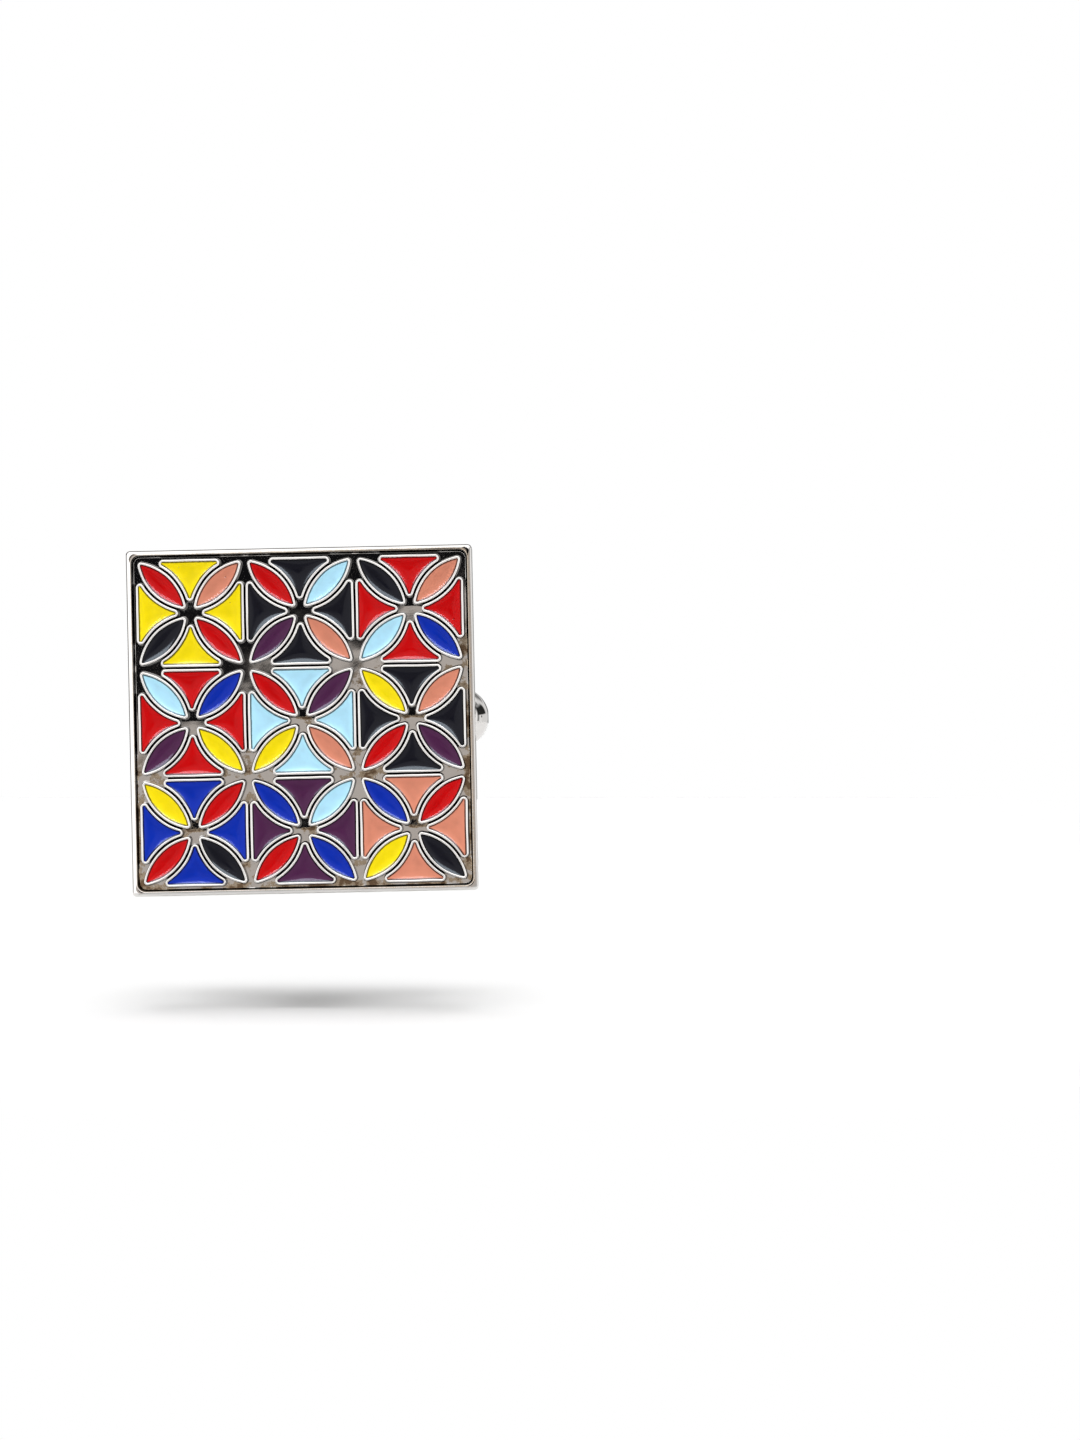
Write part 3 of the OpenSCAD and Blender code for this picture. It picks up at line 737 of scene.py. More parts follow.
class CellShapes:
    """The outlines of the petal and the dart, worked out from the face's sizes.

    Each cell's sides are arcs about points on its tile's two axes, just past the tile's edges.
    """

    ARC_OUT_SHARE = 0.5333
    ARC_IN_SHARE = 0.0259
    ARC_RADIUS_SHARE = 0.515

    def __init__(self, sizes):
        self.sizes = sizes
        field = PLATE_HIGH.x - sizes.rim_width
        self.pitch = 2 * (field - sizes.edge_channel) / len(DART_COLOURS)
        self.arc_out = self.ARC_OUT_SHARE * self.pitch
        self.arc_in = self.ARC_IN_SHARE * self.pitch
        radius = self.ARC_RADIUS_SHARE * self.pitch
        wall = sizes.channel_width / 2 + sizes.wall_width
        self.petal_radius = radius - wall
        self.dart_radius = radius + wall
        self.petal_place = (self.arc_out - self.arc_in) / 2
        self.petal_reach = (self.arc_out + self.arc_in) / ROOT_2
        self.dart_base = self.pitch / 2 - wall
        self.dart_middle = Vector((0.0, self.dart_base - sizes.dart_middle, 0.0))

    def draw_petal(self, bm, offset, height, long_steps=20, tip_steps=10):
        """Draws a petal along x, grown by an offset from the enamel's edge, and returns its vertices."""
        sizes = self.sizes
        known = set(bm.verts)
        grown = offset / sizes.wall_width
        tip = sizes.petal_tip_radius + (sizes.petal_tip_outer - sizes.petal_tip_radius) * grown
        radius = self.petal_radius + offset
        tip_place = math.sqrt((radius - tip) ** 2 - self.petal_reach ** 2)
        lean = math.degrees(math.atan2(self.petal_reach, tip_place))
        pen = bm.verts.new(Vector((tip_place, 0.0, height)) + polar(tip, -lean))
        for side in (1, -1):
            pen = arc(bm, pen, (side * tip_place, 0.0), 2 * lean, tip_steps)
            pen = arc(bm, pen, (0.0, -side * self.petal_reach), 180 - 2 * lean, long_steps)
        return close_outline(bm, known)

    def draw_dart(self, bm, offset, height, side_steps=14, corner_steps=10, base_steps=12):
        """Draws a dart that points down, grown like the petal, and returns its vertices."""
        sizes = self.sizes
        known = set(bm.verts)
        radius = self.dart_radius - offset
        base = self.dart_base + offset
        tip = sizes.dart_tip_radius + offset
        corner = sizes.dart_corner_radius + offset
        tip_y = math.sqrt((radius + tip) ** 2 - self.arc_out ** 2) - self.arc_in
        corner_y = base - corner
        corner_x = self.arc_out - math.sqrt((radius + corner) ** 2 - (corner_y + self.arc_in) ** 2)
        tip_lean = math.degrees(math.atan2(tip_y + self.arc_in, self.arc_out))
        corner_lean = math.degrees(math.atan2(corner_y + self.arc_in, self.arc_out - corner_x))
        pen = bm.verts.new(Vector((0.0, tip_y, height)) + polar(tip, -tip_lean))
        pen = arc(bm, pen, (self.arc_out, -self.arc_in), tip_lean - corner_lean, side_steps)
        pen = arc(bm, pen, (corner_x, corner_y), 90 + corner_lean, corner_steps)
        pen = line(bm, pen, (-corner_x, base, height), base_steps)
        pen = arc(bm, pen, (-corner_x, corner_y), 90 + corner_lean, corner_steps)
        pen = arc(bm, pen, (-self.arc_out, -self.arc_in), tip_lean - corner_lean, side_steps)
        arc(bm, pen, (0.0, tip_y), 180 - 2 * tip_lean, corner_steps)
        return close_outline(bm, known)

    def petal_sides(self, point):
        """How far a point lies from each of a petal's two sides."""
        return [self.petal_radius - math.hypot(point.x, point.y - side * self.petal_reach)
                for side in (-1, 1)]

    def dart_sides(self, point):
        """How far a point lies from each of a dart's three sides."""
        arcs = [math.hypot(point.x - side * self.arc_out, point.y + self.arc_in) - self.dart_radius
                for side in (-1, 1)]
        return [*arcs, self.dart_base - point.y]

    def quarter_places(self):
        """The tile's place, the turn, the row and the column of every quarter of a tile."""
        tiles = len(DART_COLOURS)
        half = (tiles - 1) / 2
        for row in range(tiles):
            for column in range(tiles):
                middle = Matrix.Translation(((column - half) * self.pitch, (half - row) * self.pitch, 0.0))
                for quarter in range(4):
                    yield middle @ Matrix.Rotation(math.radians(90 * quarter), 4, "Z"), row, column, quarter

    def petal_places(self):
        """The place and the enamel's name of every petal."""
        corner = Matrix.Translation((self.petal_place, self.petal_place, 0.0))
        slanted = corner @ Matrix.Rotation(math.radians(45), 4, "Z")
        for place, row, column, quarter in self.quarter_places():
            yield place @ slanted, PETAL_COLOURS[row][column][quarter]

    def dart_places(self):
        """The place and the enamel's name of every dart."""
        for place, row, column, _ in self.quarter_places():
            yield place, DART_COLOURS[row][column]


def wall_prototype(sizes, draw):
    """One closed wall about a cell: a rounded top and sides down to the field."""
    bm = bmesh.new()
    # This layer holds where shade and reflection are painted on the walls
    bm.verts.layers.float.new("residue")
    foot = -ENAMEL_HIGH.y - sizes.overlap
    shoulder = -WALL_LOW.y - sizes.wall_crown
    crown_steps = 8
    profile = [(0.0, foot), (0.0, shoulder - 2 * sizes.wall_support)]
    for number in range(crown_steps + 1):
        turn = math.pi * number / crown_steps
        profile.append(((1 - math.cos(turn)) / 2, shoulder + sizes.wall_crown * math.sin(turn)))
    profile += [(1.0, shoulder - sizes.wall_support), (1.0 + sizes.wall_flare / sizes.wall_width, foot)]
    rims = [loop_edges(draw(bm, across * sizes.wall_width, height)) for across, height in profile]
    bridge(bm, rims + rims[:1])
    return to_mesh(bm, "wall")


def enamel_prototype(sizes, draw, sides, middle):
    """One cell's enamel: a closed block with a dished top, which rises where it meets its wall."""
    bm = bmesh.new()
    reach = bm.verts.layers.float.new("reach")
    foot = -ENAMEL_HIGH.y - sizes.overlap
    edge = -WALL_LOW.y - sizes.enamel_edge
    outline = draw(bm, sizes.overlap, foot)
    floor = bmesh.ops.contextual_create(bm, geom=loop_edges(outline))["faces"][0]
    upper = bmesh.ops.extrude_face_region(bm, geom=[floor], use_keep_orig=True)
    top = next(item for item in upper["geom"] if isinstance(item, bmesh.types.BMFace))
    bmesh.ops.translate(bm, vec=(0.0, 0.0, edge - foot), verts=list(top.verts))
    size_before = 1.0
    for ring in DISH_RING_SHARES:
        top = bmesh.ops.extrude_discrete_faces(bm, faces=[top])["faces"][0]
        shrink = ring / size_before
        bmesh.ops.scale(bm, vec=(shrink, shrink, 1.0), verts=list(top.verts),
                        space=Matrix.Translation(-middle))
        size_before = ring
        for vert in top.verts:
            sink_vertex(sizes, vert, sides, edge, reach)
    centre = bmesh.ops.poke(bm, faces=[top])["verts"][0]
    sink_vertex(sizes, centre, sides, edge, reach)
    face_outwards(bm)
    return to_mesh(bm, "enamel")


def sink_vertex(sizes, vert, sides, edge, reach):
    """Sinks a vertex of the enamel's top by its distance from each side of the cell."""
    gaps = [max(0.0, gap + sizes.overlap) for gap in sides(vert.co)]
    sunk = math.prod(1 - math.exp(-gap / sizes.dish_reach) for gap in gaps)
    vert.co.z = edge - sizes.dish_depth * sunk
    vert[reach] = min(gaps)


def stray(verts, sizes):
    """Moves the walls' and the enamel's vertices a little, as a hand-finished pattern strays."""
    # The noise is seeded, as it would differ from run to run otherwise.
    noise.seed_set(sizes.group.seed)
    for vert in verts:
        drift = noise.noise_vector(Vector((vert.co.x, vert.co.y, 0.0)) / sizes.wobble_pitch)
        vert.co.x += drift.x * sizes.wobble
        vert.co.y += drift.y * sizes.wobble


def painted_shade_at(point, facing):
    """How much shade and reflection is painted on a side: a painted reflection of the black card in the
    upper left, and painted shade where the side faces down or right.
    """
    corner = point.y - CORNER_LEAN * point.x - CORNER_START
    return 0.4 + 0.6 * facing.dot(PAINTED_SHADE_FACING) + min(1.0, max(0.0, 0.6 + 0.5 * corner))


def mark_painted_shade(bm, sizes):
    """Marks the sides of the walls where shade and a reflection of the black card are painted."""
    layer = bm.verts.layers.float["residue"]
    below_crown = -WALL_LOW.y - sizes.wall_crown - sizes.wall_support / 2
    bm.normal_update()
    for vert in bm.verts:
        if vert.co.z < below_crown:
            vert[layer] = painted_shade_at(vert.co, vert.normal)


def add_copy(bm, mesh, place):
    """Adds a placed copy of a mesh to a bmesh and returns its vertices."""
    before = len(bm.verts)
    bm.from_mesh(mesh)
    bm.verts.ensure_lookup_table()
    added = bm.verts[before:]
    bmesh.ops.transform(bm, matrix=place, verts=added)
    return added


class CUFFLINK_OT_face_plate(Operator):
    """Models the plate: a square tray with a rounded rim"""

    bl_idname = "cufflink.face_plate"
    bl_label = "Face Plate"

    def execute(self, context):
        sizes = Millimetres(context.scene.cufflink_face)
        colours = context.scene.cufflink_colours
        half = PLATE_HIGH.x
        thickness = -PLATE_LOW.y
        outer = thickness - sizes.rim_fall
        floor = -ENAMEL_HIGH.y
        inner = half - sizes.rim_width
        foot = inner - sizes.rim_draft
        radius = sizes.corner_radius
        bevel = sizes.front_bevel
        fillet = sizes.field_fillet
        field_radius = sizes.field_corner_radius
        sections = [
            (half - sizes.back_bevel, radius / 2, 0.0),
            (half, radius, sizes.back_bevel),
            (half, radius, outer - bevel),
            (half - bevel, radius - bevel / 2, outer),
            (inner + sizes.rim_crest, field_radius, thickness),
            (inner, field_radius, thickness - sizes.rim_crest),
            (foot, field_radius, floor + fillet),
            (foot - fillet, field_radius - fillet, floor),
        ]
        bm = bmesh.new()
        # This layer holds where shade and reflection are painted on the plate
        layer = bm.verts.layers.float.new("residue")
        faces = [rounded_rectangle(bm, 2 * reach, 2 * reach, corner, height)
                 for reach, corner, height in sections]
        # The crest gets a beige tint, the fringe of the painted shade, growing towards the upper right; the
        # rim's inner side gets painted shade
        crest, *inner_side = faces[-4:-1]
        for vert in crest.verts:
            vert[layer] = FRINGE_LEVEL + FRINGE_RISE.dot(vert.co)
        for face in inner_side:
            for vert in face.verts:
                vert[layer] = max(RIM_PAINTED_SHADE, painted_shade_at(vert.co, -vert.co.normalized()))
        loft(bm, faces)
        soften(bm, sizes.edge_softness)
        plate = new_piece(bm, "plate", STAND_UP)
        add_weighted_normals(plate)
        plating = Plating("Plated plate", colours.plating)
        plating.stain_field(colours, CellShapes(sizes).pitch)
        # Paints shade on the rim's inner side and a beige tint on its crest
        plating.cover_with_painted_shade(colours)
        dress(plate, FACE_BODY, "bright_metal", plating.finish(), "face_plate")
        return {"FINISHED"}


class CUFFLINK_OT_cell_walls(Operator):
    """Models the bright walls round the petals and the darts"""

    bl_idname = "cufflink.cell_walls"
    bl_label = "Cell Walls"

    def execute(self, context):
        sizes = Millimetres(context.scene.cufflink_face)
        colours = context.scene.cufflink_colours
        shapes = CellShapes(sizes)
        plating = Plating("Plated walls", colours.plating)
        # The walls' sides get painted shade, and a painted reflection of the black card in the upper left
        plating.cover_with_painted_shade(colours)
        material = plating.finish()
        for form, draw, places in (
            ("petal", shapes.draw_petal, shapes.petal_places),
            ("dart", shapes.draw_dart, shapes.dart_places),
        ):
            prototype = wall_prototype(sizes, draw)
            bm = bmesh.new()
            for place, _ in places():
                stray(add_copy(bm, prototype, place), sizes)
            bpy.data.meshes.remove(prototype)
            # Marks where shade and reflection are painted on the walls' sides
            mark_painted_shade(bm, sizes)
            walls = new_piece(bm, f"{form}_ridges", STAND_UP)
            dress(walls, FACE_BODY, "bright_metal", material, f"{form}_walls")
        return {"FINISHED"}


def lean(verts, sizes, tilt_spread, draws):
    """Gives one cell's top its own level and lean."""
    rise = draws.uniform(-1, 1) * sizes.level_spread
    slope = [draws.uniform(-1, 1) * tilt_spread for _ in range(2)]
    middle = sum((vert.co for vert in verts), Vector()) / len(verts)
    lowest = min(vert.co.z for vert in verts)
    for vert in verts:
        if vert.co.z > lowest + sizes.overlap:
            away = vert.co - middle
            vert.co.z += rise + slope[0] * away.x + slope[1] * away.y


class CUFFLINK_OT_enamel(Operator):
    """Models the dished enamel in every cell, one piece for each colour and form of cell"""

    bl_idname = "cufflink.enamel"
    bl_label = "Enamel"

    def execute(self, context):
        group = context.scene.cufflink_face
        sizes = Millimetres(group)
        shapes = CellShapes(sizes)
        colours = context.scene.cufflink_colours
        materials = {name: glass_enamel(f"Enamel {name}", getattr(colours, name)) for name in ENAMEL_NAMES}
        glazed = bpy.data.collections.new(GLAZED)
        draws = random.Random(group.seed)
        for form, draw, sides, middle, places in (
            ("petal", shapes.draw_petal, shapes.petal_sides, Vector(), shapes.petal_places),
            ("dart", shapes.draw_dart, shapes.dart_sides, shapes.dart_middle, shapes.dart_places),
        ):
            prototype = enamel_prototype(sizes, draw, sides, middle)
            meshes = {name: bmesh.new() for name in ENAMEL_NAMES}
            for place, name in places():
                verts = add_copy(meshes[name], prototype, place)
                lean(verts, sizes, group.tilt_spread, draws)
                stray(verts, sizes)
            bpy.data.meshes.remove(prototype)
            for name, bm in meshes.items():
                piece = new_piece(bm, f"{form}_glass_{name}", STAND_UP)
                dress(piece, FACE_BODY, f"{name}_enamel", materials[name], f"{form}_enamel_{name}")
                glazed.objects.link(piece)
        return {"FINISHED"}


def merged_copy(node, name):
    """A welded copy of a frame node's mesh, with its flats made whole."""
    bm = bmesh.new()
    bm.from_mesh(frame["nodes"][node].data)
    bmesh.ops.scale(bm, vec=(1 / MM, 1 / MM, 1 / MM), verts=bm.verts[:])
    weld(bm, distance=FRAME_WELD_DISTANCE)
    flat = math.radians(0.5)
    bmesh.ops.dissolve_limit(bm, angle_limit=flat, verts=bm.verts[:], edges=bm.edges[:])
    return new_piece(bm, name)


def add_solder(sizes, colours):
    """A hollow fillet of solder that climbs from the plate to the foot's edge."""
    width = STIRRUP_HIGH.x - STIRRUP_LOW.x
    height = STIRRUP_HIGH.z - STIRRUP_LOW.z
    size = SOLDER_HIGH.y
    steps = 6
    long_edge = 1.0
    bm = bmesh.new()
    faces = []
    for number in range(steps + 1):
        turn = math.pi / 2 * number / steps
        out = size * (1 - math.sin(turn))
        rise = size * (1 - math.cos(turn))
        faces.append(rounded_rectangle(bm, width + 2 * out, height + 2 * out,
                                       sizes.foot_corner_radius + out, -rise, 12))
    loft(bm, faces)
    bmesh.ops.subdivide_edges(bm, edges=[edge for edge in bm.edges if edge.calc_length() > long_edge],
                              cuts=24, use_grid_fill=True)
    lump_scale = 1.4
    drift_scale = 1.1
    elsewhere = Vector((9, 0, 0))
    for vert in bm.verts:
        if -size < vert.co.z < 0:
            lump = noise.noise(vert.co * lump_scale)
            vert.co.z += lump * sizes.solder_lumps * (1 + vert.co.z / size)
            vert.co.x += noise.noise(vert.co * drift_scale + elsewhere) * sizes.solder_lumps
    solder = new_piece(bm, "solder_bead", STAND_UP)
    material = solder_metal("Flowed solder", colours.solder, colours.solder_pit)
    dress(solder, FACE_BODY, "solder", material, "solder_seam")


class CUFFLINK_OT_stirrup(Operator):
    """Models the stirrup and the solder that holds its foot"""

    bl_idname = "cufflink.stirrup"
    bl_label = "Stirrup and Solder"

    def execute(self, context):
        sizes = Millimetres(context.scene.cufflink_back)
        colours = context.scene.cufflink_colours
        stirrup = merged_copy("stirrup", "bent_stirrup")
        add_edge_rounding(stirrup, sizes.strap_edge, 4)
        add_weighted_normals(stirrup)
        material = Plating("Plated strap", colours.plating, satin=0.1).finish()
        dress(stirrup, FACE_BODY, "bright_metal", material, "stirrup")
        add_solder(sizes, colours)
        return {"FINISHED"}


class CUFFLINK_OT_pivot(Operator):
    """Models the riveted pin and its washers"""

    bl_idname = "cufflink.pivot"
    bl_label = "Pivot"

    def execute(self, context):
        sizes = Millimetres(context.scene.cufflink_back)
        colours = context.scene.cufflink_colours
        steel = satin_metal("Turned steel", colours.steel, 0.16, (1.0, 1.0, 8.0))
        pin = merged_copy("pivot_pin", "riveted_pin")
        add_edge_rounding(pin, sizes.pin_edge, 2, 40)
        add_weighted_normals(pin)
        dress(pin, FACE_BODY, "steel", steel, "pivot_pin")
        inner = sizes.pin_radius + sizes.clearance
        outer = WASHER_HIGH.x
        bm = bmesh.new()
        for low, high in (
            (WASHER_HIGH.z - sizes.washer_thickness, WASHER_HIGH.z),
            (WASHER_LOW.z, WASHER_LOW.z + sizes.washer_thickness),
        ):
            lines(bm, (inner, 0.0, low), (outer, 0.0, low), (outer, 0.0, high), (inner, 0.0, high),
                  (inner, 0.0, low))
        turned(bm, 64, axis=(0, 0, 1))
        soften(bm, sizes.washer_edge, 3, 40)
        washers = new_piece(bm, "washers", AT_PIVOT)
        add_weighted_normals(washers)
        dress(washers, FACE_BODY, "steel", steel, "pivot_washers")
        return {"FINISHED"}


def draw_barrel(bm, sizes):
    """Draws half of the barrel's section, with a rounding at each seam."""
    radius = BARREL_HIGH.z
    end = BARREL_HIGH.x
    seam = sizes.seam_radius
    pen = bm.verts.new((-end, sizes.bore_radius, 0.0))
    pen = line(bm, pen, (-end, radius - seam, 0.0), 2)
    pen = arc(bm, pen, (seam - end, radius - seam), -90, 4)
    pen = line(bm, pen, (end - seam, radius, 0.0), 20)
    pen = arc(bm, pen, (end - seam, radius - seam), -90, 4)
    pen = line(bm, pen, (end, sizes.bore_radius, 0.0), 2)
    line(bm, pen, (-end, sizes.bore_radius, 0.0), 20)


def cut_barrel(barrel, sizes):
    """Cuts the barrel across for the pin and flattens it for the washers."""
    radius = BARREL_HIGH.z
    hole = sizes.pin_radius + sizes.clearance
    cuts = bmesh.new()
    for reach, depth, height in (
        (hole, 3 * radius, 0.0),
        (sizes.flat_radius, 2 * sizes.flat_depth, -radius),
        (sizes.flat_radius, 2 * sizes.flat_depth, radius),
    ):
        disc = bmesh.ops.create_cone(cuts, cap_ends=True, segments=96, radius1=reach, radius2=reach,
                                     depth=depth)["verts"]
        bmesh.ops.translate(cuts, vec=(0, 0, height), verts=disc)
    cutter = new_piece(cuts, "cutter", AT_PIVOT)
    cut = barrel.modifiers.new("Flats and cross hole", "BOOLEAN")
    cut.object = cutter
    cut.solver = "EXACT"
    cut.use_self = True
    apply_modifiers(barrel)
    bpy.data.objects.remove(cutter)


def draw_nose(bm, sizes):
    """Draws half of a nose's section: pocket, shank, seam, long arc and round tip."""
    radius = BARREL_HIGH.z
    start = BARREL_HIGH.x
    end = NOSE_HIGH.x
    shank = NOSE_LOW.x
    seam = sizes.seam_radius
    pocket_end = start + sizes.pocket_depth
    tip = sizes.nose_tip_radius
    flat = sizes.tip_flat_radius
    tip_centre = end - math.sqrt(tip ** 2 - flat ** 2)
    run = tip_centre - start
    long_radius = (run ** 2 / (radius - tip) + tip + radius) / 2
    meeting = math.degrees(math.atan2(run, long_radius - radius))
    seam_turn = math.degrees(math.asin(seam / long_radius))
    seam_top = radius - long_radius + long_radius * math.cos(math.radians(seam_turn))
    flat_turn = math.degrees(math.acos(flat / tip))
    pen = lines(bm, (pocket_end, 0.0, 0.0), (pocket_end, sizes.pocket_radius, 0.0),
                (shank, sizes.pocket_radius, 0.0), (shank, sizes.shank_radius, 0.0),
                (start, sizes.shank_radius, 0.0))
    pen = line(bm, pen, (start, radius - seam, 0.0), 2)
    pen = arc(bm, pen, (start + seam, radius - seam), -90, 4)
    pen = line(bm, pen, (start + seam, seam_top, 0.0))
    pen = arc(bm, pen, (start, radius - long_radius), seam_turn - meeting, 16)
    pen = arc(bm, pen, (tip_centre, 0.0), meeting - flat_turn, 16)
    line(bm, pen, (end, 0.0, 0.0), 2)
    weld(bm, distance=NOSE_WELD_DISTANCE)


class CUFFLINK_OT_toggle(Operator):
    """Models the barrel and the two noses of the toggle"""

    bl_idname = "cufflink.toggle"
    bl_label = "Toggle"

    def execute(self, context):
        sizes = Millimetres(context.scene.cufflink_back)
        material = Plating("Plated toggle", context.scene.cufflink_colours.plating).finish()
        bm = bmesh.new()
        draw_barrel(bm, sizes)
        turned(bm)
        barrel = new_piece(bm, "barrel", AT_PIVOT)
        cut_barrel(barrel, sizes)
        add_edge_rounding(barrel, sizes.cut_edge, 3, 35)
        add_weighted_normals(barrel)
        dress(barrel, TOGGLE_BODY, "bright_metal", material, "toggle_barrel")
        for side, place in SIDES.items():
            bm = bmesh.new()
            draw_nose(bm, sizes)
            turned(bm)
            nose = new_piece(bm, f"nose_{side}", place)
            nose.data.set_sharp_from_angle(angle=math.radians(40))
            dress(nose, TOGGLE_BODY, "bright_metal", material, f"toggle_nose_{side}")
        return {"FINISHED"}


def draw_plunger(bm, sizes):
    """Draws half of a plunger's section: a flat head and the stub that centres the spring."""
    start = PLUNGER_LOW.x
    end = PLUNGER_HIGH.x
    radius = PLUNGER_HIGH.z
    step = end - sizes.stub_length
    lines(bm, (start, 0.0, 0.0), (start, radius, 0.0), (step, radius, 0.0), (step, sizes.stub_radius, 0.0),
          (end, sizes.stub_radius, 0.0), (end, 0.0, 0.0))


def wound_spring(sizes):
    """Winds a round wire about the X axis, from the plunger's shoulder to the pocket's end."""
    bm = bmesh.new()
    wire = sizes.wire_radius
    coil = SPRING_HIGH.z - wire
    start = PLUNGER_HIGH.x - sizes.stub_length + wire
    end = BARREL_HIGH.x + sizes.pocket_depth - wire
    curls = sizes.group.spring_curls
    steps = 32 * curls
    slope = math.atan2((end - start) / curls, math.tau * coil)
    section = bmesh.ops.create_circle(bm, cap_ends=True, segments=14, radius=wire)["verts"]
    bmesh.ops.rotate(bm, cent=(0, 0, 0), matrix=Matrix.Rotation(slope, 3, "Y"), verts=section)
    bmesh.ops.translate(bm, vec=(start, coil, 0.0), verts=section)
    face = section[0].link_faces[0]
    bmesh.ops.spin(bm, geom=[*section, *face.edges, face], cent=(0, 0, 0), axis=(1, 0, 0),
                   dvec=((end - start) / steps, 0, 0), angle=math.tau * curls, steps=steps)
    face_outwards(bm)
    return bm


class CUFFLINK_OT_click(Operator):
    """Models the plungers and the springs inside the toggle"""

    bl_idname = "cufflink.click"
    bl_label = "Click"

    def execute(self, context):
        sizes = Millimetres(context.scene.cufflink_back)
        colours = context.scene.cufflink_colours
        steel = satin_metal("Ground steel", colours.steel, 0.14, (1.0, 6.0, 6.0))
        wire = satin_metal("Drawn wire", colours.spring_steel, 0.22, (5.0, 1.0, 1.0))
        for side, place in SIDES.items():
            bm = bmesh.new()
            draw_plunger(bm, sizes)
            turned(bm, 64)
            soften(bm, sizes.plunger_edge, 3, 40)
            plunger = new_piece(bm, f"plunger_{side}", place)
            add_weighted_normals(plunger)
            dress(plunger, f"{side}_plunger", "steel", steel, f"detent_plunger_{side}")
            spring = new_piece(wound_spring(sizes), f"spring_{side}", place)
            dress(spring, TOGGLE_BODY, "spring_steel", wire, f"detent_spring_{side}")
        return {"FINISHED"}


def add_floor(studio):
    """A pale floor, a little below the cufflink, as the photograph's soft shadow shows."""
    sizes = Millimetres(studio)
    bm = bmesh.new()
    bmesh.ops.create_grid(bm, x_segments=1, y_segments=1, size=0.5)
    bmesh.ops.scale(bm, vec=(sizes.floor_size, sizes.floor_size, 1.0), verts=bm.verts[:])
    middle = (0.0, sizes.floor_size / 2 - sizes.floor_front, sizes.floor_level)
    level_in_picture = Matrix.Rotation(studio.camera_roll, 4, "Y")
    floor = new_piece(bm, "floor", level_in_picture @ Matrix.Translation(middle))
    material, shader = new_material("Pale floor")
    cloud = shader.noise(shader.point(), scale=0.02, detail=2.0)
    pale = [studio.floor_colour] * 3
    surface = shader.node("ShaderNodeBsdfDiffuse", inputs={
        "Color": shader.mix(cloud, pale, scaled(pale, 0.99))})
    shown = shader.rays("Is Camera Ray", "Is Glossy Ray", "Is Transmission Ray")
    glow = shader.node("ShaderNodeEmission", inputs={"Color": shader.grey(shown * studio.floor_glow)})
    both = shader.node("ShaderNodeAddShader", inputs={0: surface, 1: glow})
    across, along, _ = shader.parts(shader.point())
    front, side, fade = -sizes.floor_front, sizes.floor_side, sizes.floor_fade
    solid = shader.step(along, front, front + fade) * shader.fall(abs(across), side, side + fade)
    clear = shader.node("ShaderNodeBsdfTransparent")
    faded = shader.node("ShaderNodeMixShader", inputs={0: solid, 1: clear, 2: both})
    shader.node("ShaderNodeOutputMaterial", inputs={"Surface": faded})
    floor.data.materials.append(material)


def add_distant_light(name, irradiance, spread, front):
    """A soft distant light, which stands at an angle from overhead towards the front."""
    lamp = bpy.data.lights.new(name, "SUN")
    lamp.energy = irradiance
    lamp.angle = spread
    light = add_to_scene(name, lamp)
    light.rotation_euler = (front, 0.0, 0.0)
    light.visible_glossy = False


def add_lights(studio):
    """A row of soft lights overhead, which lays the shadow on the floor, and a softer one in front."""
    count = studio.overhead_lights
    stride = (studio.overhead_front + studio.overhead_rear) / (count - 1)
    for number in range(count):
        add_distant_light(f"Overhead {number + 1}", studio.overhead / count, studio.overhead_spread,
                          studio.overhead_front - number * stride)
    add_distant_light("Fill", studio.fill, studio.fill_spread, studio.fill_front)


def add_glaze_softbox(studio):
    """A softbox that only the enamel mirrors, as its thin gloss needs a far brighter one than metal."""
    lamp = bpy.data.lights.new("Glaze softbox", "AREA")
    lamp.shape = "RECTANGLE"
    lamp.color = studio.glaze_softbox_colour
    lamp.size = studio.glaze_softbox_width
    lamp.size_y = studio.glaze_softbox_height
    lamp.energy = studio.glaze_softbox * math.pi * lamp.size * lamp.size_y
    light = add_to_scene("Glaze softbox", lamp)
    light.location = (0.0, -studio.glaze_softbox_front, studio.glaze_softbox_up)
    light.rotation_euler = light.location.to_track_quat("Z", "Y").to_euler()
    light.visible_diffuse = False
    light.light_linking.receiver_collection = bpy.data.collections[GLAZED]


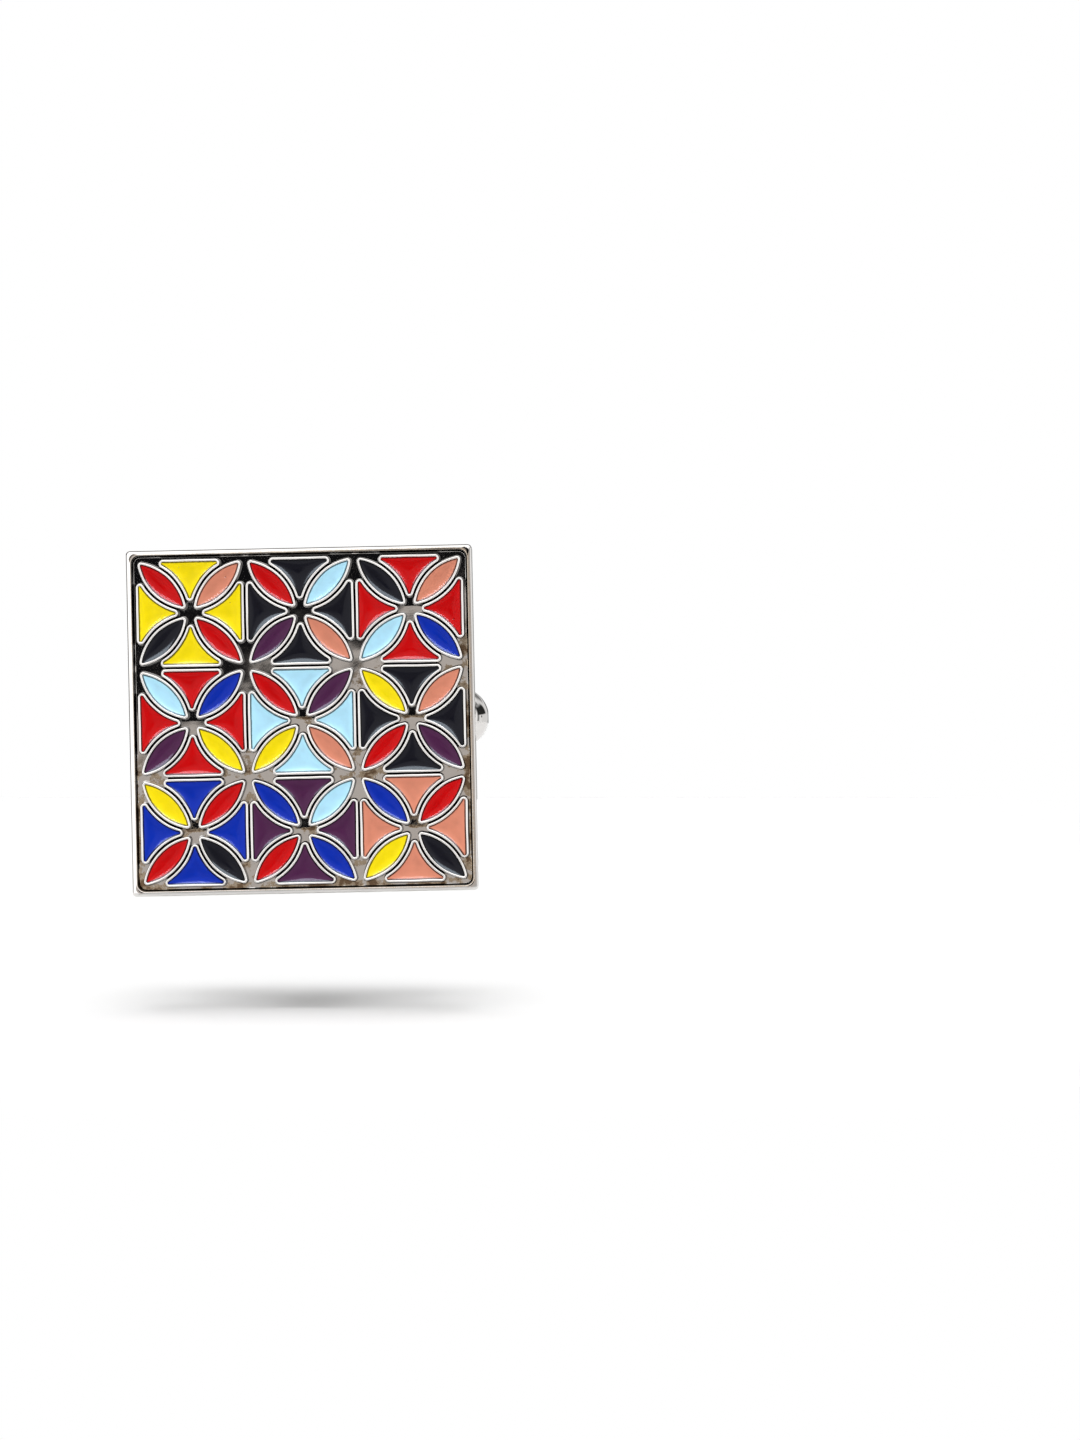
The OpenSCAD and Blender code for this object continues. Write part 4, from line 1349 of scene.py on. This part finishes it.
def mirrored_studio(shader, studio, colours):
    """What gloss mirrors: a warm grey and a black card by the camera, and softboxes round them."""
    step, fall, window = shader.step, shader.fall, shader.window
    x, y, z = shader.parts(shader.node("ShaderNodeTexCoord", output="Generated"))
    # Cards in front are placed by u and v, how far they stand to the right and up over how far ahead
    ahead = (-y).or_more(0.001)
    u = x / ahead
    v = z / ahead
    away = (u * u + v * v) ** 0.5
    upper_left = (v - u) / (away * ROOT_2 + 0.001)
    near = 0.5 + (studio.surround - 0.5) * step(upper_left, -0.15, 0.3)
    ring = near + (studio.surround - near) * step(away, 0.3, 0.45) - 0.5 * step(away, 0.75, 1.15)
    above = window(v, 0.42, 0.75, 2.2, 3.2) * fall(abs(u), 0.6, 1.0)
    right = window(u, 0.5, 0.85, 1.9, 2.6) * fall(abs(v), 0.5, 0.9)
    left = window(-u, 0.6, 0.9, 1.6, 2.2) * fall(abs(v), 0.4, 0.8)
    ring = ring + studio.softbox * above + studio.side_softbox * (right + 0.6 * left)
    # Beside and behind: a grey belt, black flags at the sides, a bright panel and the backdrop
    from_spot = ((y - 0.155) * (y - 0.155) + (z - 0.026) * (z - 0.026)) ** 0.5
    flags = step(abs(x), 0.72, 0.82) * window(z, 0.08, 0.13, 0.42, 0.6)
    flags = flags + fall(from_spot, 0.03, 0.07) * step(abs(x), 0.5, 0.6)
    band = window(z, 0.3, 0.42, 0.6, 0.72) * fall(abs(x), 0.5, 0.7)
    rear = step(y, 0.84, 0.88) * fall(abs(z), 0.2, 0.3)
    panel = window(z, 0.62, 0.7, 0.82, 0.88)
    behind = 0.85 - 0.6 * band - 0.6 * rear + 0.3 * panel - 0.4 * step(z, 0.84, 0.9)
    sides = step(x, 0.8, 0.9) + 0.35 * step(-x, 0.8, 0.9)
    shade = 0.22 + 0.74 * sides * step(y, -0.15, 0.0)
    belt = shade + (behind - shade) * step(y, 0.1, 0.25)
    front = step(-y, 0.16, 0.28)
    around = (belt + (ring - belt) * front) * (1.0 - 0.97 * flags * step(y, -0.2, -0.1))
    card = step(v - 0.4 * u, 0.0362, 0.0378)
    by_camera = shader.mix(card, colours.studio_grey, colours.studio_black)
    return shader.mix(fall(away, 0.13, 0.15) * front, shader.grey(around), by_camera)


def set_world(scene):
    """White to the camera, plain light to diffuse surfaces, and a studio to whatever mirrors it."""
    world = bpy.data.worlds.new("Studio")
    scene.world = world
    world.cycles.sampling_method = "NONE"
    shader = Shader(world)
    studio = scene.cufflink_studio
    mirrored = mirrored_studio(shader, studio, scene.cufflink_colours)
    gloss = shader.rays("Is Glossy Ray", "Is Transmission Ray")
    lit = shader.mix(gloss, [studio.ambient] * 3, mirrored)
    seen = shader.mix(shader.rays("Is Camera Ray"), lit, (1.0, 1.0, 1.0))
    background = shader.node("ShaderNodeBackground", inputs={"Color": seen, "Strength": 1.0})
    shader.node("ShaderNodeOutputWorld", inputs={"Surface": background})


def add_camera(scene, studio):
    """A long lens, square to the face, which stands to the right of its middle."""
    camera = bpy.data.cameras.new("Camera")
    camera.sensor_width = CAMERA_SENSOR
    camera.lens = CAMERA_SENSOR * studio.camera_distance / studio.view_height
    camera.clip_start = CAMERA_CLIP
    viewer = add_to_scene("Camera", camera)
    front = PLATE_LOW.y * MM - studio.camera_distance
    place = Matrix.Translation((studio.camera_right, front, studio.camera_up))
    viewer.matrix_world = place @ STAND_UP @ Matrix.Rotation(-studio.camera_roll, 4, "Z")
    scene.camera = viewer


class CUFFLINK_OT_stage(Operator):
    """Sets up the floor, the light, the surroundings that gloss mirrors, and the camera"""

    bl_idname = "cufflink.stage"
    bl_label = "Stage"

    def execute(self, context):
        scene = context.scene
        studio = scene.cufflink_studio
        add_floor(studio)
        add_lights(studio)
        add_glaze_softbox(studio)
        set_world(scene)
        add_camera(scene, studio)
        scene.view_settings.view_transform = "Standard"
        return {"FINISHED"}


class CUFFLINK_PT_maker(Panel):
    """Lists the steps that make the cufflink"""

    bl_idname = "CUFFLINK_PT_maker"
    bl_label = "Enamelled Cufflink"
    bl_space_type = "VIEW_3D"
    bl_region_type = "UI"
    bl_category = "Cufflink"

    def draw(self, context):
        column = self.layout.column()
        for step in STEPS:
            column.operator(step.bl_idname)


GROUPS = {
    "cufflink_face": CufflinkFaceSizes,
    "cufflink_back": CufflinkBackSizes,
    "cufflink_colours": CufflinkColours,
    "cufflink_studio": CufflinkStudio,
}
STEPS = (
    CUFFLINK_OT_face_plate,
    CUFFLINK_OT_cell_walls,
    CUFFLINK_OT_enamel,
    CUFFLINK_OT_stirrup,
    CUFFLINK_OT_pivot,
    CUFFLINK_OT_toggle,
    CUFFLINK_OT_click,
    CUFFLINK_OT_stage,
)


def register():
    for group in (*GROUPS.values(), *STEPS, CUFFLINK_PT_maker):
        bpy.utils.register_class(group)
    for name, group in GROUPS.items():
        setattr(bpy.types.Scene, name, PointerProperty(type=group))


def unregister():
    for name in GROUPS:
        delattr(bpy.types.Scene, name)
    for group in (CUFFLINK_PT_maker, *reversed(STEPS), *reversed(GROUPS.values())):
        bpy.utils.unregister_class(group)


def main():
    register()
    for step in STEPS:
        group, name = step.bl_idname.split(".")
        getattr(getattr(bpy.ops, group), name)()


if __name__ == "__main__":
    main()
